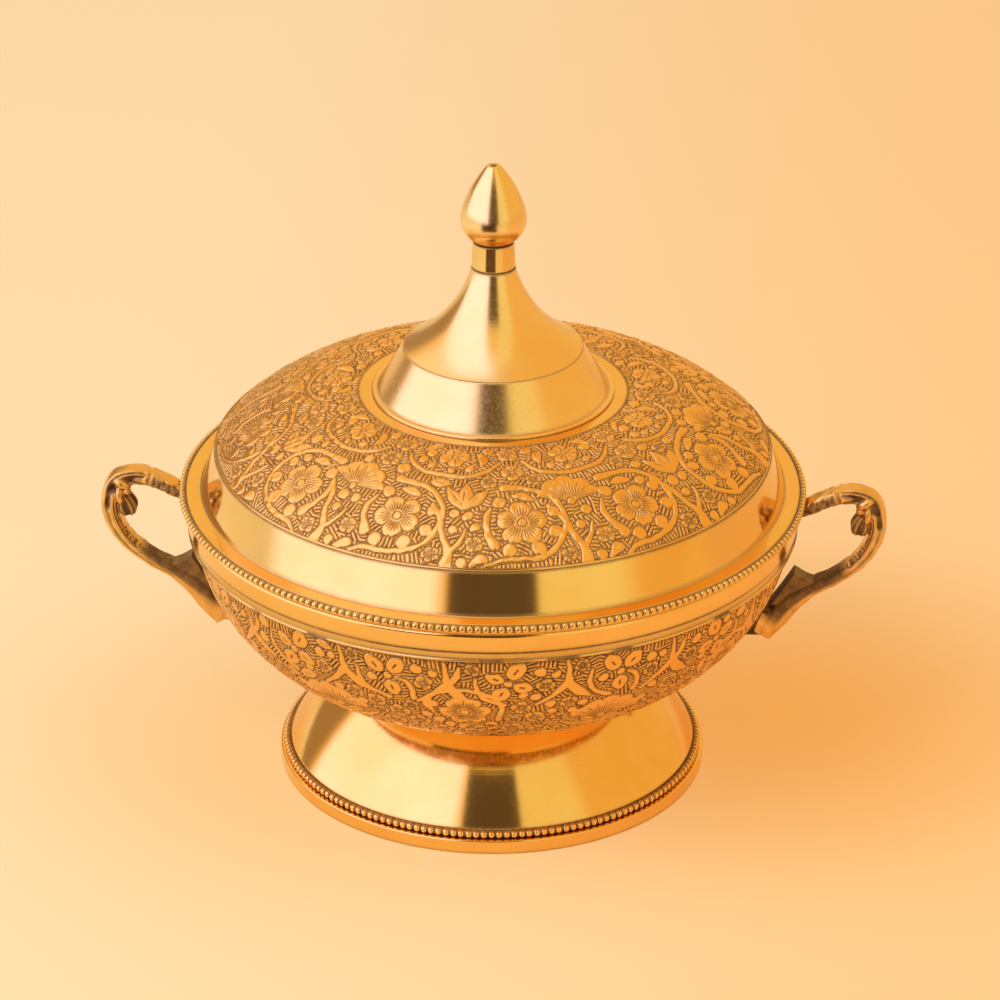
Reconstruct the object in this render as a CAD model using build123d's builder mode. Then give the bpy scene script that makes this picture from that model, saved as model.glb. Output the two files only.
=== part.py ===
from build123d import *
from math import pi
import os

os.makedirs("parts", exist_ok=True)

# A lidded brass candy dish: an engraved bowl on a flared foot, two cast scroll handles and a
# domed lid with a spire. Millimetres, +Z up, origin on the table under the centre of the bowl.
# Profiles are drawn in the XZ plane, as radius and height, and turned about Z.

# Driving dimensions: overall shape
rim_radius = 98.3            # outer radius of the bowl's rim ring
foot_height = 34.0           # table to the underside of the bowl
bowl_depth = 60.0            # underside of the bowl to the top of its rim
foot_radius = 69.0           # outer radius of the foot's base band
lid_band_height = 13.8       # height of the lid's plain band
dome_rise = 19.6             # dome edge to the plateau under the spire
spire_height = 42.4          # spire's foot to its top
ferrule_height = 8.6
finial_height = 25.2

# Driving dimensions: walls, gaps and clearances
bowl_wall = 2.2
foot_wall = 1.6
lid_wall = 1.4
spire_wall = 1.3
braze_gap = 0.05             # film of brazing metal between brazed faces
seat_gap = 0.05              # between turned pieces that are slid together
lid_clearance = 0.8          # radial play of the lid's collar inside the rim

# Driving dimensions: beaded wires
bead_pitch = 2.4
bead_height = 2.2
bead_depth = 2.0
bead_shoulder_height = 0.6   # sloped part above and below a bead's face
bead_notch_depth = 1.5
bead_notch_width = 1.6       # where the notch is cut, a little outside the beads

# Driving dimensions: bowl
rim_projection = 2.1         # rim ring beyond the wall under it
band_drop = 6.8              # rim top to the seam under the rim ring
shoulder_drop = 10.8         # rim top to the lower edge of the small shoulder band
band_projection = 0.9        # shoulder band beyond the wall under it
band_slope = 0.6             # height of the slope under the shoulder band
raised_line_radius = 0.5
raised_line_lift = 1.1       # above the shoulder band's lower edge
wall_taper_drop = 5.2
wall_taper_in = 1.3
belly_inset = 36.8           # wall at the shoulder to where the belly turns under
belly_low_height = 4.0       # that turn above the underside
floor_inset = 5.4            # foot's top edge to the flat part of the bowl's underside
rim_ledge_width = 6.0
rim_ledge_thickness = 2.0
rim_edge_round = 1.2
rim_side_inset = 0.5         # of the rim ring's tapered side at its foot
rim_lower_chamfer = 0.4

# Driving dimensions: foot
base_band_height = 4.8
base_band_ledge = 3.2
flare_lift = 0.4             # bead row's top to the start of the flare
foot_top_radius = 45.4
flare_crown_height = 1.0     # bulge of the flare above its chord

# Driving dimensions: lid
lid_overhang = 0.1           # lip of the lid beyond the rim ring
lid_lip_height = 0.9
bead_seat_inset = 0.4        # bead row's seat inside the lip
flange_lift = 3.1            # rim top to the upper face of the lid's flange
flange_width = 4.9
lid_band_inset = 4.6
lid_line_radius = 0.45
plateau_radius = 42.5
plateau_step = 0.4           # recess that the spire's foot sits in
dome_bulge = 4.85
collar_wall = 1.6
collar_drop = 5.5            # how far the collar reaches into the bowl

# Driving dimensions: spire, ferrule and finial
spire_foot_radius = 38.4
spire_foot_thickness = 0.9
spire_base_radius = 36.6
spire_line_radius = 28.3     # scribed line between the cone and the trumpet
spire_line_height = 15.2
trumpet_hollow = 3.5
ferrule_radius = 6.9
ferrule_taper = 0.4
ferrule_chamfer = 0.3
finial_radius = 10.4
finial_foot_radius = 5.8
finial_belly_height = 7.6
finial_taper_radius = 7.9    # point on the bud between its belly and its tip
finial_taper_height = 16.1
finial_tip_radius = 2.2
tip_mark_radius = 0.8        # centre mark left by turning
tip_mark_depth = 0.6

# Driving dimensions: fasteners
stud_radius = 2.0
stud_depth = 11.0            # screwed into the finial
stud_washer_radius = 6.0
stud_nut_flats = 7.0
stud_nut_thickness = 3.2
screw_radius = 2.5
screw_head_radius = 5.0
screw_head_height = 2.6
screw_head_round = 1.5
foot_washer_radius = 8.0
foot_nut_flats = 8.0
foot_nut_thickness = 4.0
washer_thickness = 1.0
thread_tail = 1.5            # thread showing past a nut

# Driving dimensions: handles
handle_reach = 25.0          # the scroll's centreline beyond the rim
handle_drop = 48.0           # rim top to the end of the tail
arm_thickness = 4.6
arm_width = 9.0
horn_width = 6.0
pad_width = 7.2

# Scroll's sections from the rim to the tail, as shares of the reach and drop, then of the
# arm's thickness and width
arm_stations = [
    (-0.06, 0.080, 0.90, 0.78),
    (0.12, 0.046, 0.98, 0.84),
    (0.38, -0.023, 1.00, 0.91),
    (0.67, -0.054, 1.00, 0.98),
    (0.91, -0.009, 1.13, 1.00),
    (1.00, 0.137, 1.17, 1.00),
    (0.93, 0.300, 1.13, 1.00),
    (0.75, 0.440, 1.00, 0.98),
    (0.47, 0.560, 0.91, 0.96),
    (0.17, 0.648, 1.07, 0.93),
    (-0.09, 0.757, 1.50, 0.93),
    (-0.28, 0.882, 1.60, 0.91),
    (-0.43, 1.000, 1.15, 0.78),
]
# Leaf bud that curls back under the arm, in the same shares
bud_stations = [
    (0.90, 0.030, 0.75, 0.67),
    (0.82, 0.105, 1.00, 0.80),
    (0.77, 0.180, 1.40, 0.87),
    (0.75, 0.235, 0.95, 0.60),
]
# Corners of the horn that stands off the bowl, and of the pad brazed to it
horn_corners = [
    (0.24, 0.596), (0.10, 0.567), (-0.05, 0.517), (-0.21, 0.654), (-0.36, 0.771), (0.04, 0.729)
]
pad_corners = [(-0.34, 0.783), (-1.00, 0.783), (-1.25, 0.987), (-0.46, 0.987)]

# Heights and radii that follow from them
rim_top = foot_height + bowl_depth
seam_height = rim_top - band_drop
shoulder_height = rim_top - shoulder_drop
shoulder_radius = rim_radius - rim_projection
band_radius = shoulder_radius + band_projection
ring_seat_radius = shoulder_radius - band_projection
ring_ledge_height = rim_top - rim_ledge_thickness
rim_bore_radius = rim_radius - rim_ledge_width
belly_low_radius = shoulder_radius - belly_inset
floor_radius = foot_top_radius - floor_inset
foot_bead_seat = foot_radius - base_band_ledge
flare_start = base_band_height + bead_height + flare_lift
lid_lip_radius = rim_radius + lid_overhang
lid_bead_seat = lid_lip_radius - bead_seat_inset
lid_lip_top = rim_top + lid_lip_height
flange_top = rim_top + flange_lift
collar_top = flange_top - lid_wall - seat_gap
band_foot_radius = lid_bead_seat - flange_width
dome_edge_radius = band_foot_radius - lid_band_inset
dome_edge_height = flange_top + lid_band_height
plateau_height = dome_edge_height + dome_rise
spire_seat = plateau_height - plateau_step
spire_line_level = spire_seat + spire_line_height
spire_top = spire_seat + spire_height
ferrule_base = spire_top + seat_gap
ferrule_top = ferrule_base + ferrule_height
finial_base = ferrule_top + seat_gap
finial_top = finial_base + finial_height
stud_bore = stud_radius + seat_gap
screw_bore = screw_radius + seat_gap


def bowl_side(allowance=0.0):
    """Side of the bowl from its shoulder to its flat floor; gives the lines' last point."""
    taper = Line(
        (shoulder_radius + allowance, shoulder_height - allowance),
        (shoulder_radius - wall_taper_in + allowance, shoulder_height - wall_taper_drop - allowance),
    )
    belly = TangentArc(
        taper @ 1,
        (belly_low_radius + allowance, foot_height + belly_low_height - allowance),
        tangent=taper % 1,
    )
    under = TangentArc(
        belly @ 1, (floor_radius + allowance, foot_height - allowance), tangent=belly % 1
    )
    return under @ 1


def nut(across_flats, bore, base, thickness):
    """Hexagon nut standing on the given height."""
    with BuildPart() as hexagon:
        with BuildSketch(Plane.XY.offset(base)):
            RegularPolygon(radius=across_flats / 2, side_count=6, major_radius=False)
            Circle(bore, mode=Mode.SUBTRACT)
        extrude(amount=thickness)
    return hexagon.part


def washer(radius, bore, base):
    """Flat washer lying on the given height."""
    with BuildPart() as disc:
        with BuildSketch(Plane.XY.offset(base)):
            Circle(radius)
            Circle(bore, mode=Mode.SUBTRACT)
        extrude(amount=washer_thickness)
    return disc.part


def beaded_wire(seat, bottom):
    """Ring of beads on a thin strip: a band notched between the beads."""
    outer = seat + bead_depth
    count = round(2 * pi * (outer - bead_depth / 2) / bead_pitch)
    with BuildPart() as wire:
        with BuildSketch(Plane.XZ):
            with BuildLine():
                Polyline(
                    (seat, bottom),
                    (outer, bottom + bead_shoulder_height),
                    (outer, bottom + bead_height - bead_shoulder_height),
                    (seat, bottom + bead_height),
                    close=True,
                )
            make_face()
        revolve(axis=Axis.Z)
        with BuildSketch(Plane.XY.offset(bottom)):
            with PolarLocations(outer - bead_notch_depth, count):
                Polygon(
                    (0, 0),
                    (bead_depth, bead_notch_width / 2),
                    (bead_depth, -bead_notch_width / 2),
                    align=None,
                )
        extrude(amount=bead_height, mode=Mode.SUBTRACT)
    return wire.part


# Bowl shell, with the shoulder band that the rim ring sits on
with BuildPart() as bowl_shell:
    with BuildSketch(Plane.XZ):
        with BuildLine():
            floor_start = bowl_side()
            Line(floor_start, (screw_bore, foot_height))
            offset(amount=bowl_wall, side=Side.RIGHT, kind=Kind.INTERSECTION)
        make_face()
        with BuildLine():
            Polyline(
                (shoulder_radius - bowl_wall, shoulder_height - band_slope),
                (shoulder_radius, shoulder_height),
                (band_radius, shoulder_height + band_slope),
                (band_radius, seam_height),
                (ring_seat_radius, seam_height),
                (ring_seat_radius, ring_ledge_height - seat_gap),
                (shoulder_radius - bowl_wall, ring_ledge_height - seat_gap),
                close=True,
            )
        make_face()
        with Locations((band_radius, shoulder_height + raised_line_lift)):
            Circle(raised_line_radius)
    revolve(axis=Axis.Z)
bowl_shell.part.label = "bowl_shell"
export_step(bowl_shell.part, "parts/bowl_shell.step")

# Rim ring: the plain polished band, with the ledge that the lid rests on
with BuildPart() as rim_ring:
    with BuildSketch(Plane.XZ):
        with BuildLine():
            Polyline(
                (rim_bore_radius, rim_top),
                (rim_radius, rim_top),
                (rim_radius - rim_side_inset, seam_height + seat_gap + rim_lower_chamfer),
                (rim_radius - rim_side_inset - rim_lower_chamfer, seam_height + seat_gap),
                (ring_seat_radius + seat_gap, seam_height + seat_gap),
                (ring_seat_radius + seat_gap, ring_ledge_height),
                (rim_bore_radius, ring_ledge_height),
                close=True,
            )
        make_face()
    revolve(axis=Axis.Z)
    outer_top_edge = rim_ring.edges().group_by(Axis.Z)[-1].sort_by(SortBy.RADIUS)[-1]
    fillet(outer_top_edge, radius=rim_edge_round)
rim_ring.part.label = "rim_ring"
export_step(rim_ring.part, "parts/rim_ring.step")

# Foot: a spun bell with a flat top and a stepped base band
with BuildPart() as foot_shell:
    with BuildSketch(Plane.XZ):
        with BuildLine():
            base = Polyline(
                (foot_radius, 0),
                (foot_radius, base_band_height),
                (foot_bead_seat, base_band_height),
                (foot_bead_seat, flare_start),
            )
            flare = SagittaArc(base @ 1, (foot_top_radius, foot_height), -flare_crown_height)
            Line(flare @ 1, (screw_bore, foot_height))
            offset(amount=foot_wall, side=Side.LEFT, kind=Kind.INTERSECTION)
        make_face()
    revolve(axis=Axis.Z)
foot_shell.part.label = "foot_shell"
export_step(foot_shell.part, "parts/foot_shell.step")

foot_bead_ring = beaded_wire(foot_bead_seat + seat_gap, base_band_height + seat_gap)
foot_bead_ring.label = "foot_bead_ring"
export_step(foot_bead_ring, "parts/foot_bead_ring.step")

lid_bead_ring = beaded_wire(lid_bead_seat + seat_gap, lid_lip_top + seat_gap)
lid_bead_ring.label = "lid_bead_ring"
export_step(lid_bead_ring, "parts/lid_bead_ring.step")

# Screw, washer and nut that hold the foot under the bowl
foot_washer_base = foot_height - foot_wall - seat_gap - washer_thickness
foot_nut_base = foot_washer_base - seat_gap - foot_nut_thickness
with BuildPart() as foot_screw:
    head_seat = foot_height + bowl_wall + seat_gap
    shank_base = foot_nut_base - thread_tail
    with BuildSketch(Plane.XY.offset(head_seat)):
        Circle(screw_head_radius)
    extrude(amount=screw_head_height)
    fillet(foot_screw.edges().group_by(Axis.Z)[-1], radius=screw_head_round)
    with BuildSketch(Plane.XY.offset(shank_base)):
        Circle(screw_radius)
    extrude(amount=head_seat - shank_base)
foot_screw.part.label = "foot_screw"
export_step(foot_screw.part, "parts/foot_screw.step")

foot_washer = washer(foot_washer_radius, screw_bore, foot_washer_base)
foot_washer.label = "foot_washer"
export_step(foot_washer, "parts/foot_washer.step")

foot_nut = nut(foot_nut_flats, screw_bore, foot_nut_base, foot_nut_thickness)
foot_nut.label = "foot_nut"
export_step(foot_nut, "parts/foot_nut.step")

# Lid shell: flat flange, plain steep band, engraved dome and a flat plateau for the spire
with BuildPart() as lid_shell:
    with BuildSketch(Plane.XZ):
        with BuildLine():
            flange = Line((lid_bead_seat, flange_top), (band_foot_radius, flange_top))
            band = Line(flange @ 1, (dome_edge_radius, dome_edge_height))
            dome = SagittaArc(band @ 1, (plateau_radius, plateau_height), -dome_bulge)
            Line(dome @ 1, (stud_bore, plateau_height))
            offset(amount=lid_wall, side=Side.LEFT, kind=Kind.INTERSECTION)
        make_face()
        with Locations((dome_edge_radius, dome_edge_height)):
            Circle(lid_line_radius)
    revolve(axis=Axis.Z)
    with BuildSketch(Plane.XY.offset(spire_seat)):
        Circle(plateau_radius)
    extrude(amount=plateau_step, mode=Mode.SUBTRACT)
lid_shell.part.label = "lid_shell"
export_step(lid_shell.part, "parts/lid_shell.step")

# Collar under the flange: it rests on the rim, centres the lid and backs the beaded wire
with BuildPart() as lid_collar:
    spigot_radius = rim_bore_radius - lid_clearance
    with BuildSketch(Plane.XZ):
        with BuildLine():
            Polyline(
                (spigot_radius - collar_wall, rim_top - collar_drop),
                (spigot_radius, rim_top - collar_drop),
                (spigot_radius, rim_top),
                (lid_lip_radius, rim_top),
                (lid_lip_radius, lid_lip_top),
                (lid_bead_seat, lid_lip_top),
                (lid_bead_seat, collar_top),
                (spigot_radius - collar_wall, collar_top),
                close=True,
            )
        make_face()
    revolve(axis=Axis.Z)
lid_collar.part.label = "lid_collar"
export_step(lid_collar.part, "parts/lid_collar.step")

# Spire: a small foot flange, a steep cone, a scribed line and a hollow trumpet above it
with BuildPart() as lid_spire:
    spire_base = spire_seat + seat_gap
    flange_level = spire_base + spire_foot_thickness
    with BuildSketch(Plane.XZ):
        with BuildLine():
            foot_side = Line((spire_base_radius, spire_base), (spire_base_radius, flange_level))
            cone = Line(foot_side @ 1, (spire_line_radius, spire_line_level))
            trumpet = SagittaArc(cone @ 1, (ferrule_radius, spire_top), trumpet_hollow)
            Line(trumpet @ 1, (stud_bore, spire_top))
            offset(amount=spire_wall, side=Side.LEFT, kind=Kind.INTERSECTION)
        make_face()
        with BuildLine():
            Polyline(
                (spire_base_radius - spire_wall, spire_base),
                (spire_foot_radius, spire_base),
                (spire_foot_radius, flange_level),
                (spire_base_radius - spire_wall, flange_level),
                close=True,
            )
        make_face()
    revolve(axis=Axis.Z)
lid_spire.part.label = "lid_spire"
export_step(lid_spire.part, "parts/lid_spire.step")

with BuildPart() as ferrule:
    with BuildSketch(Plane.XZ):
        with BuildLine():
            Polyline(
                (stud_bore, ferrule_base),
                (ferrule_radius - ferrule_chamfer, ferrule_base),
                (ferrule_radius, ferrule_base + ferrule_chamfer),
                (ferrule_radius - ferrule_taper, ferrule_top),
                (stud_bore, ferrule_top),
                close=True,
            )
        make_face()
    revolve(axis=Axis.Z)
ferrule.part.label = "ferrule"
export_step(ferrule.part, "parts/ferrule.step")

# Finial: a turned bud with a centre mark at its tip and a blind hole for the stud
with BuildPart() as finial:
    with BuildSketch(Plane.XZ):
        with BuildLine():
            underside = Line((0, finial_base), (finial_foot_radius, finial_base))
            lower = TangentArc(
                (finial_radius, finial_base + finial_belly_height),
                underside @ 1,
                tangent=(0, -1),
            )
            upper = Spline(
                lower @ 0,
                (finial_taper_radius, finial_base + finial_taper_height),
                (finial_tip_radius, finial_top),
                tangents=[(0, 1), (-0.75, 1)],
            )
            Polyline(
                upper @ 1,
                (tip_mark_radius, finial_top),
                (0, finial_top - tip_mark_depth),
                (0, finial_base),
            )
        make_face()
    revolve(axis=Axis.Z)
    with BuildSketch(Plane.XY.offset(finial_base)):
        Circle(stud_bore)
    extrude(amount=stud_depth + seat_gap, mode=Mode.SUBTRACT)
finial.part.label = "finial"
export_step(finial.part, "parts/finial.step")

# Stud from the finial down through the spire, with its washer and nut inside the lid
stud_washer_base = plateau_height - lid_wall - seat_gap - washer_thickness
stud_nut_base = stud_washer_base - seat_gap - stud_nut_thickness
with BuildPart() as finial_stud:
    stud_base = stud_nut_base - thread_tail
    with BuildSketch(Plane.XY.offset(stud_base)):
        Circle(stud_radius)
    extrude(amount=finial_base + stud_depth - stud_base)
finial_stud.part.label = "finial_stud"
export_step(finial_stud.part, "parts/finial_stud.step")

stud_washer = washer(stud_washer_radius, stud_bore, stud_washer_base)
stud_washer.label = "stud_washer"
export_step(stud_washer, "parts/stud_washer.step")

stud_nut = nut(stud_nut_flats, stud_bore, stud_nut_base, stud_nut_thickness)
stud_nut.label = "stud_nut"
export_step(stud_nut, "parts/stud_nut.step")


def at_handle(out, down):
    """Point in the handle's plane: radius and height."""
    return rim_radius + out * handle_reach, rim_top - down * handle_drop


def station_plane(stations, index):
    """Plane square to the scroll at one station: local x across it, local y outward."""
    before = at_handle(*stations[max(index - 1, 0)][:2])
    after = at_handle(*stations[min(index + 1, len(stations) - 1)][:2])
    here = at_handle(*stations[index][:2])
    return Plane(
        origin=(here[0], 0, here[1]),
        x_dir=(0, 1, 0),
        z_dir=(after[0] - before[0], 0, after[1] - before[1]),
    )


def arm_section(width, thickness):
    """Octagon with broad chamfers, drawn in the open sketch."""
    side, flat = 0.22 * thickness, 0.27 * width
    Polygon(
        (width / 2, side),
        (flat, thickness / 2),
        (-flat, thickness / 2),
        (-width / 2, side),
        (-width / 2, -side),
        (-flat, -thickness / 2),
        (flat, -thickness / 2),
        (width / 2, -side),
        align=None,
    )


# Right handle: scroll arm, leaf bud, horn beside the bowl and the pad brazed to it
with BuildPart() as right_handle:
    for stations in (arm_stations, bud_stations):
        for index, (_, _, thickness_share, width_share) in enumerate(stations):
            with BuildSketch(station_plane(stations, index)):
                arm_section(width_share * arm_width, thickness_share * arm_thickness)
        loft()
    for corners, width in ((horn_corners, horn_width), (pad_corners, pad_width)):
        with BuildSketch(Plane.XZ):
            Polygon(*[at_handle(*corner) for corner in corners], align=None)
        extrude(amount=width / 2, both=True)
    with BuildSketch(Plane.XZ):
        with BuildLine():
            cut_radius = band_radius + braze_gap
            bowl_floor = bowl_side(braze_gap)
            Polyline(
                bowl_floor,
                (0, foot_height - braze_gap),
                (0, rim_top),
                (rim_radius + braze_gap, rim_top),
                (rim_radius + braze_gap, seam_height),
                (cut_radius, seam_height),
                (cut_radius, shoulder_height - braze_gap),
                (shoulder_radius + braze_gap, shoulder_height - braze_gap),
            )
        make_face()
    revolve(axis=Axis.Z, mode=Mode.SUBTRACT)
right_handle.part.label = "right_handle"
export_step(right_handle.part, "parts/right_handle.step")

with BuildPart() as left_handle:
    add(mirror(right_handle.part, about=Plane.YZ, mode=Mode.PRIVATE))
left_handle.part.label = "left_handle"
export_step(left_handle.part, "parts/left_handle.step")
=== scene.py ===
import math
from functools import reduce

import bpy
import numpy as np
from mathutils import Matrix
from mathutils.kdtree import KDTree


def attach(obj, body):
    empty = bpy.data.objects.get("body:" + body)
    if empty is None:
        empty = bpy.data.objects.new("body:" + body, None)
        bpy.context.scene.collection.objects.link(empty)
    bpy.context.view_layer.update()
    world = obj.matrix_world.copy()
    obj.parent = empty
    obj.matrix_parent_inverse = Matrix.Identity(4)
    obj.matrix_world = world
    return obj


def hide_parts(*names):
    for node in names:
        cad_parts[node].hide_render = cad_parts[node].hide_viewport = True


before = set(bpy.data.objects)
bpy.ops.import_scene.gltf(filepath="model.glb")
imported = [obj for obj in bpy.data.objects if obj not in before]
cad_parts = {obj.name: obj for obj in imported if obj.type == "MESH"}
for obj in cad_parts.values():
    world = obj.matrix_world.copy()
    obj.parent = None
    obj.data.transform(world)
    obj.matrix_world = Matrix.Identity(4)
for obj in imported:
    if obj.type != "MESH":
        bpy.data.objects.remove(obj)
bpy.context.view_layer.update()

MM = 0.001
rng = np.random.default_rng(11)

# Sizes in millimetres, the same as in the CAD source
RIM_TOP = 94.0
SEAM = 87.2
SHOULDER = (96.2, 83.2)
BAND_RADIUS = 97.1
TAPER_END = (94.9, 78.0)
BELLY_LOW = (59.4, 38.0)
FLOOR_RADIUS = 40.0
FOOT_TOP = 34.0
BOWL_WALL = 2.2
PLATEAU = 130.1
LID_WALL = 1.4
DOME_CENTRE = (41.18, 63.61)
DOME_RADIUS = 66.9
BOWL_ENGRAVED = 58.0
LID_TARNISH = 0.88
STUD_BORE = 2.05
SCREW_BORE = 2.55
FINIAL_COLUMNS = 160
BEAD_PITCH = 2.4
BEAD_ROWS, BEAD_COLUMNS = 7, 14


def linear(*shown):
    """Colour as shown, 0 to 255, as the linear numbers that Blender works with."""
    shares = (value / 255 for value in shown)
    return (*(c / 12.92 if c <= 0.04045 else ((c + 0.055) / 1.055) ** 2.4 for c in shares), 1.0)


def smooth_step(value, low, high):
    t = np.clip((value - low) / (high - low), 0, 1)
    return t * t * (3 - 2 * t)


def hill(value, centre, reach):
    return np.exp(-((value - centre) / reach) ** 2)


def window(value, low, high, soft):
    """1 between low and high, with soft ends."""
    return smooth_step(value, low - soft, low + soft) * (1 - smooth_step(value, high - soft, high + soft))


def turns(count, shift=0.0):
    """Equal steps once round, in radians."""
    return (np.arange(count) + shift) * 2 * math.pi / count


def darkest(*layers):
    """Strongest of several layers of patina and painted shade, point by point."""
    return reduce(np.maximum, layers)


# Profiles, as radius and height in millimetres
def arc(start, end, centre, count):
    """Points on a circle about centre, from start to end the short way round."""
    a = math.atan2(start[1] - centre[1], start[0] - centre[0])
    b = math.atan2(end[1] - centre[1], end[0] - centre[0])
    turn = (b - a + math.pi) % (2 * math.pi) - math.pi
    ra = math.dist(start, centre)
    rb = math.dist(end, centre)
    out = []
    for t in np.linspace(0, 1, count + 1):
        angle = a + turn * t
        radius = ra + (rb - ra) * t
        out.append((centre[0] + radius * math.cos(angle), centre[1] + radius * math.sin(angle)))
    return out


def tangent_centre(start, heading, end):
    """Centre of the arc that leaves start along heading and ends at end."""
    heading = np.array(heading, float)
    heading /= np.linalg.norm(heading)
    normal = np.array([-heading[1], heading[0]])
    d = np.array(end, float) - np.array(start, float)
    radius = d.dot(d) / (2 * d.dot(normal))
    return tuple(np.array(start) + radius * normal)


def rounded(points, steps=4):
    """Closed profile whose corners (radius, height, fillet) are rounded off."""
    out = []
    n = len(points)
    for i, point in enumerate(points):
        here = np.array(point[:2], float)
        fillet = point[2] if len(point) > 2 else 0.0
        if fillet <= 0:
            out.append(tuple(here))
            continue
        before = np.array(points[i - 1][:2], float) - here
        after = np.array(points[(i + 1) % n][:2], float) - here
        lb, la = np.linalg.norm(before), np.linalg.norm(after)
        before, after = before / lb, after / la
        half = math.acos(np.clip(before.dot(after), -1, 1)) / 2
        cut = min(fillet / math.tan(half), 0.45 * lb, 0.45 * la)
        radius = cut * math.tan(half)
        centre = here + (before + after) / np.linalg.norm(before + after) * radius / math.sin(half)
        out += arc(tuple(here + before * cut), tuple(here + after * cut), tuple(centre), steps)
    return out


def belly(count):
    """Side of the bowl from its shoulder to the edge of its flat floor."""
    top, turn, low = np.array(SHOULDER), np.array(TAPER_END), np.array(BELLY_LOW)
    floor = np.array((FLOOR_RADIUS, FOOT_TOP))
    side = tangent_centre(turn, turn - top, low)
    under = tangent_centre(low, (low[1] - side[1], side[0] - low[0]), floor)
    return [tuple(top)] + arc(turn, low, side, count) + arc(low, floor, under, 8)[1:]


def sagitta_arc(start, end, rise, count):
    """Arc from start to end whose middle stands rise to the left of the chord."""
    a, b = np.array(start, float), np.array(end, float)
    chord = b - a
    length = np.linalg.norm(chord)
    left = np.array([-chord[1], chord[0]]) / length
    radius = (length ** 2 / 4 + rise ** 2) / (2 * abs(rise))
    centre = (a + b) / 2 + left * (rise - math.copysign(radius, rise))
    return arc(tuple(a), tuple(b), tuple(centre), count)


def normals(points):
    """Unit normals of an open profile, to the right of its direction."""
    d = np.gradient(np.array(points, float), axis=0)
    d /= np.linalg.norm(d, axis=1)[:, None]
    return np.stack([d[:, 1], -d[:, 0]], 1)


def subdivided(profile, step, whole=math.ceil):
    """Closed profile with no side much longer than step."""
    out = []
    for a, b in zip(profile, list(profile[1:]) + [profile[0]]):
        n = max(1, whole(math.dist(a, b) / step))
        out += [(a[0] + (b[0] - a[0]) * t / n, a[1] + (b[1] - a[1]) * t / n) for t in range(n)]
    return out


# Meshes
def new_object(name, points, faces, smooth_below=32.0):
    """Mesh object from points in metres and quads or triangles, shaded smooth except at sharp edges."""
    mesh = bpy.data.meshes.new(name)
    faces = np.asarray(faces, np.int32)
    sides = faces.shape[1]
    mesh.vertices.add(len(points))
    mesh.vertices.foreach_set("co", np.asarray(points, np.float32).ravel())
    mesh.loops.add(faces.size)
    mesh.loops.foreach_set("vertex_index", faces.ravel())
    mesh.polygons.add(len(faces))
    mesh.polygons.foreach_set("loop_start", np.arange(0, faces.size, sides, dtype=np.int32))
    mesh.update(calc_edges=True)
    mesh.validate()
    mesh.shade_smooth()
    if smooth_below:
        mesh.set_sharp_from_angle(angle=math.radians(smooth_below))
    obj = bpy.data.objects.new(name, mesh)
    bpy.context.scene.collection.objects.link(obj)
    return obj


def ring_grid(rows, columns, closed):
    """Quads that join rows of a turned grid; closed joins the last row to the first."""
    i = np.arange(rows if closed else rows - 1)[:, None]
    j = np.arange(columns)[None, :]
    a = i * columns + j
    b = i * columns + (j + 1) % columns
    c = ((i + 1) % rows) * columns + (j + 1) % columns
    d = ((i + 1) % rows) * columns + j
    return np.stack([a, b, c, d], -1).reshape(-1, 4)


def join_faces(*groups):
    """Triangles of all the groups of quads and triangles."""
    out = []
    for group in groups:
        if group.shape[1] == 4:
            out += [group[:, [0, 1, 2]], group[:, [0, 2, 3]]]
        else:
            out.append(group)
    return np.concatenate(out)


def tube(rows, around, reverse=False):
    """Triangles of a tube of rows that ends in one point at either end, the last two of its mesh."""
    ring = np.arange(around)
    following = (ring + 1) % around
    first = np.full(around, rows * around)
    last = first - around
    groups = [
        ring_grid(rows, around, False),
        np.stack([first, following, ring], 1),
        np.stack([first + 1, last + ring, last + following], 1),
    ]
    return join_faces(*(group[:, ::-1] if reverse else group for group in groups))


def spread_points(profile, columns):
    """Grid of points, rows by columns, of a profile turned about Z. Azimuth 0 faces -Y."""
    p = np.array(profile, float)
    turn = turns(columns)
    x = p[:, :1] * np.sin(turn)
    y = -p[:, :1] * np.cos(turn)
    z = np.repeat(p[:, 1:], columns, axis=1)
    return np.stack([x, y, z], -1)


def set_value(obj, name, values):
    """Point attribute that a material reads."""
    layer = obj.data.attributes.new(name, "FLOAT", "POINT")
    layer.data.foreach_set("value", np.asarray(values, np.float32).ravel())


def coat(obj, material):
    """Gives an object this one material."""
    obj.data.materials.clear()
    obj.data.materials.append(material)


def dress(obj, body, replaced, material):
    """Hands the finished piece to the frame."""
    coat(obj, material)
    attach(obj, body)
    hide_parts(replaced)


def patina_and_shade_rows(profile, marks):
    """Patina and painted shade of each point of a profile: marks are (radius, height, reach, strength)."""
    p = np.array(profile, float)
    out = np.zeros(len(p))
    for radius, height, reach, strength in marks:
        far = np.hypot(p[:, 0] - radius, p[:, 1] - height) / reach
        out = np.maximum(out, strength * np.exp(-far ** 2))
    return out


def painted_handle_shade(points):
    """Painted shadow and dark reflection of the handles, in brown, on the bowl and rim beside them."""
    y, z = np.abs(points[..., 1]), points[..., 2]
    return 0.92 * (1 - smooth_step(y, 6.0, 27.0)) * window(z, 46.0, 90.0, 4.0)


def turned(name, profile, body, replaced, material, columns, marks, step, shaded_by_handles=False):
    """Closed profile turned about Z, with its marks of patina and painted shade."""
    profile = subdivided(profile, step)
    grid = spread_points(profile, columns)
    faces = ring_grid(len(profile), columns, True)
    obj = new_object(name, grid.reshape(-1, 3) * MM, outward(profile, faces))
    patina_and_shade = np.repeat(patina_and_shade_rows(profile, marks)[:, None], columns, 1)
    set_value(obj, "patina_and_shade", darkest(patina_and_shade, painted_handle_shade(grid)) if shaded_by_handles else patina_and_shade)
    dress(obj, body, replaced, material)


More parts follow.
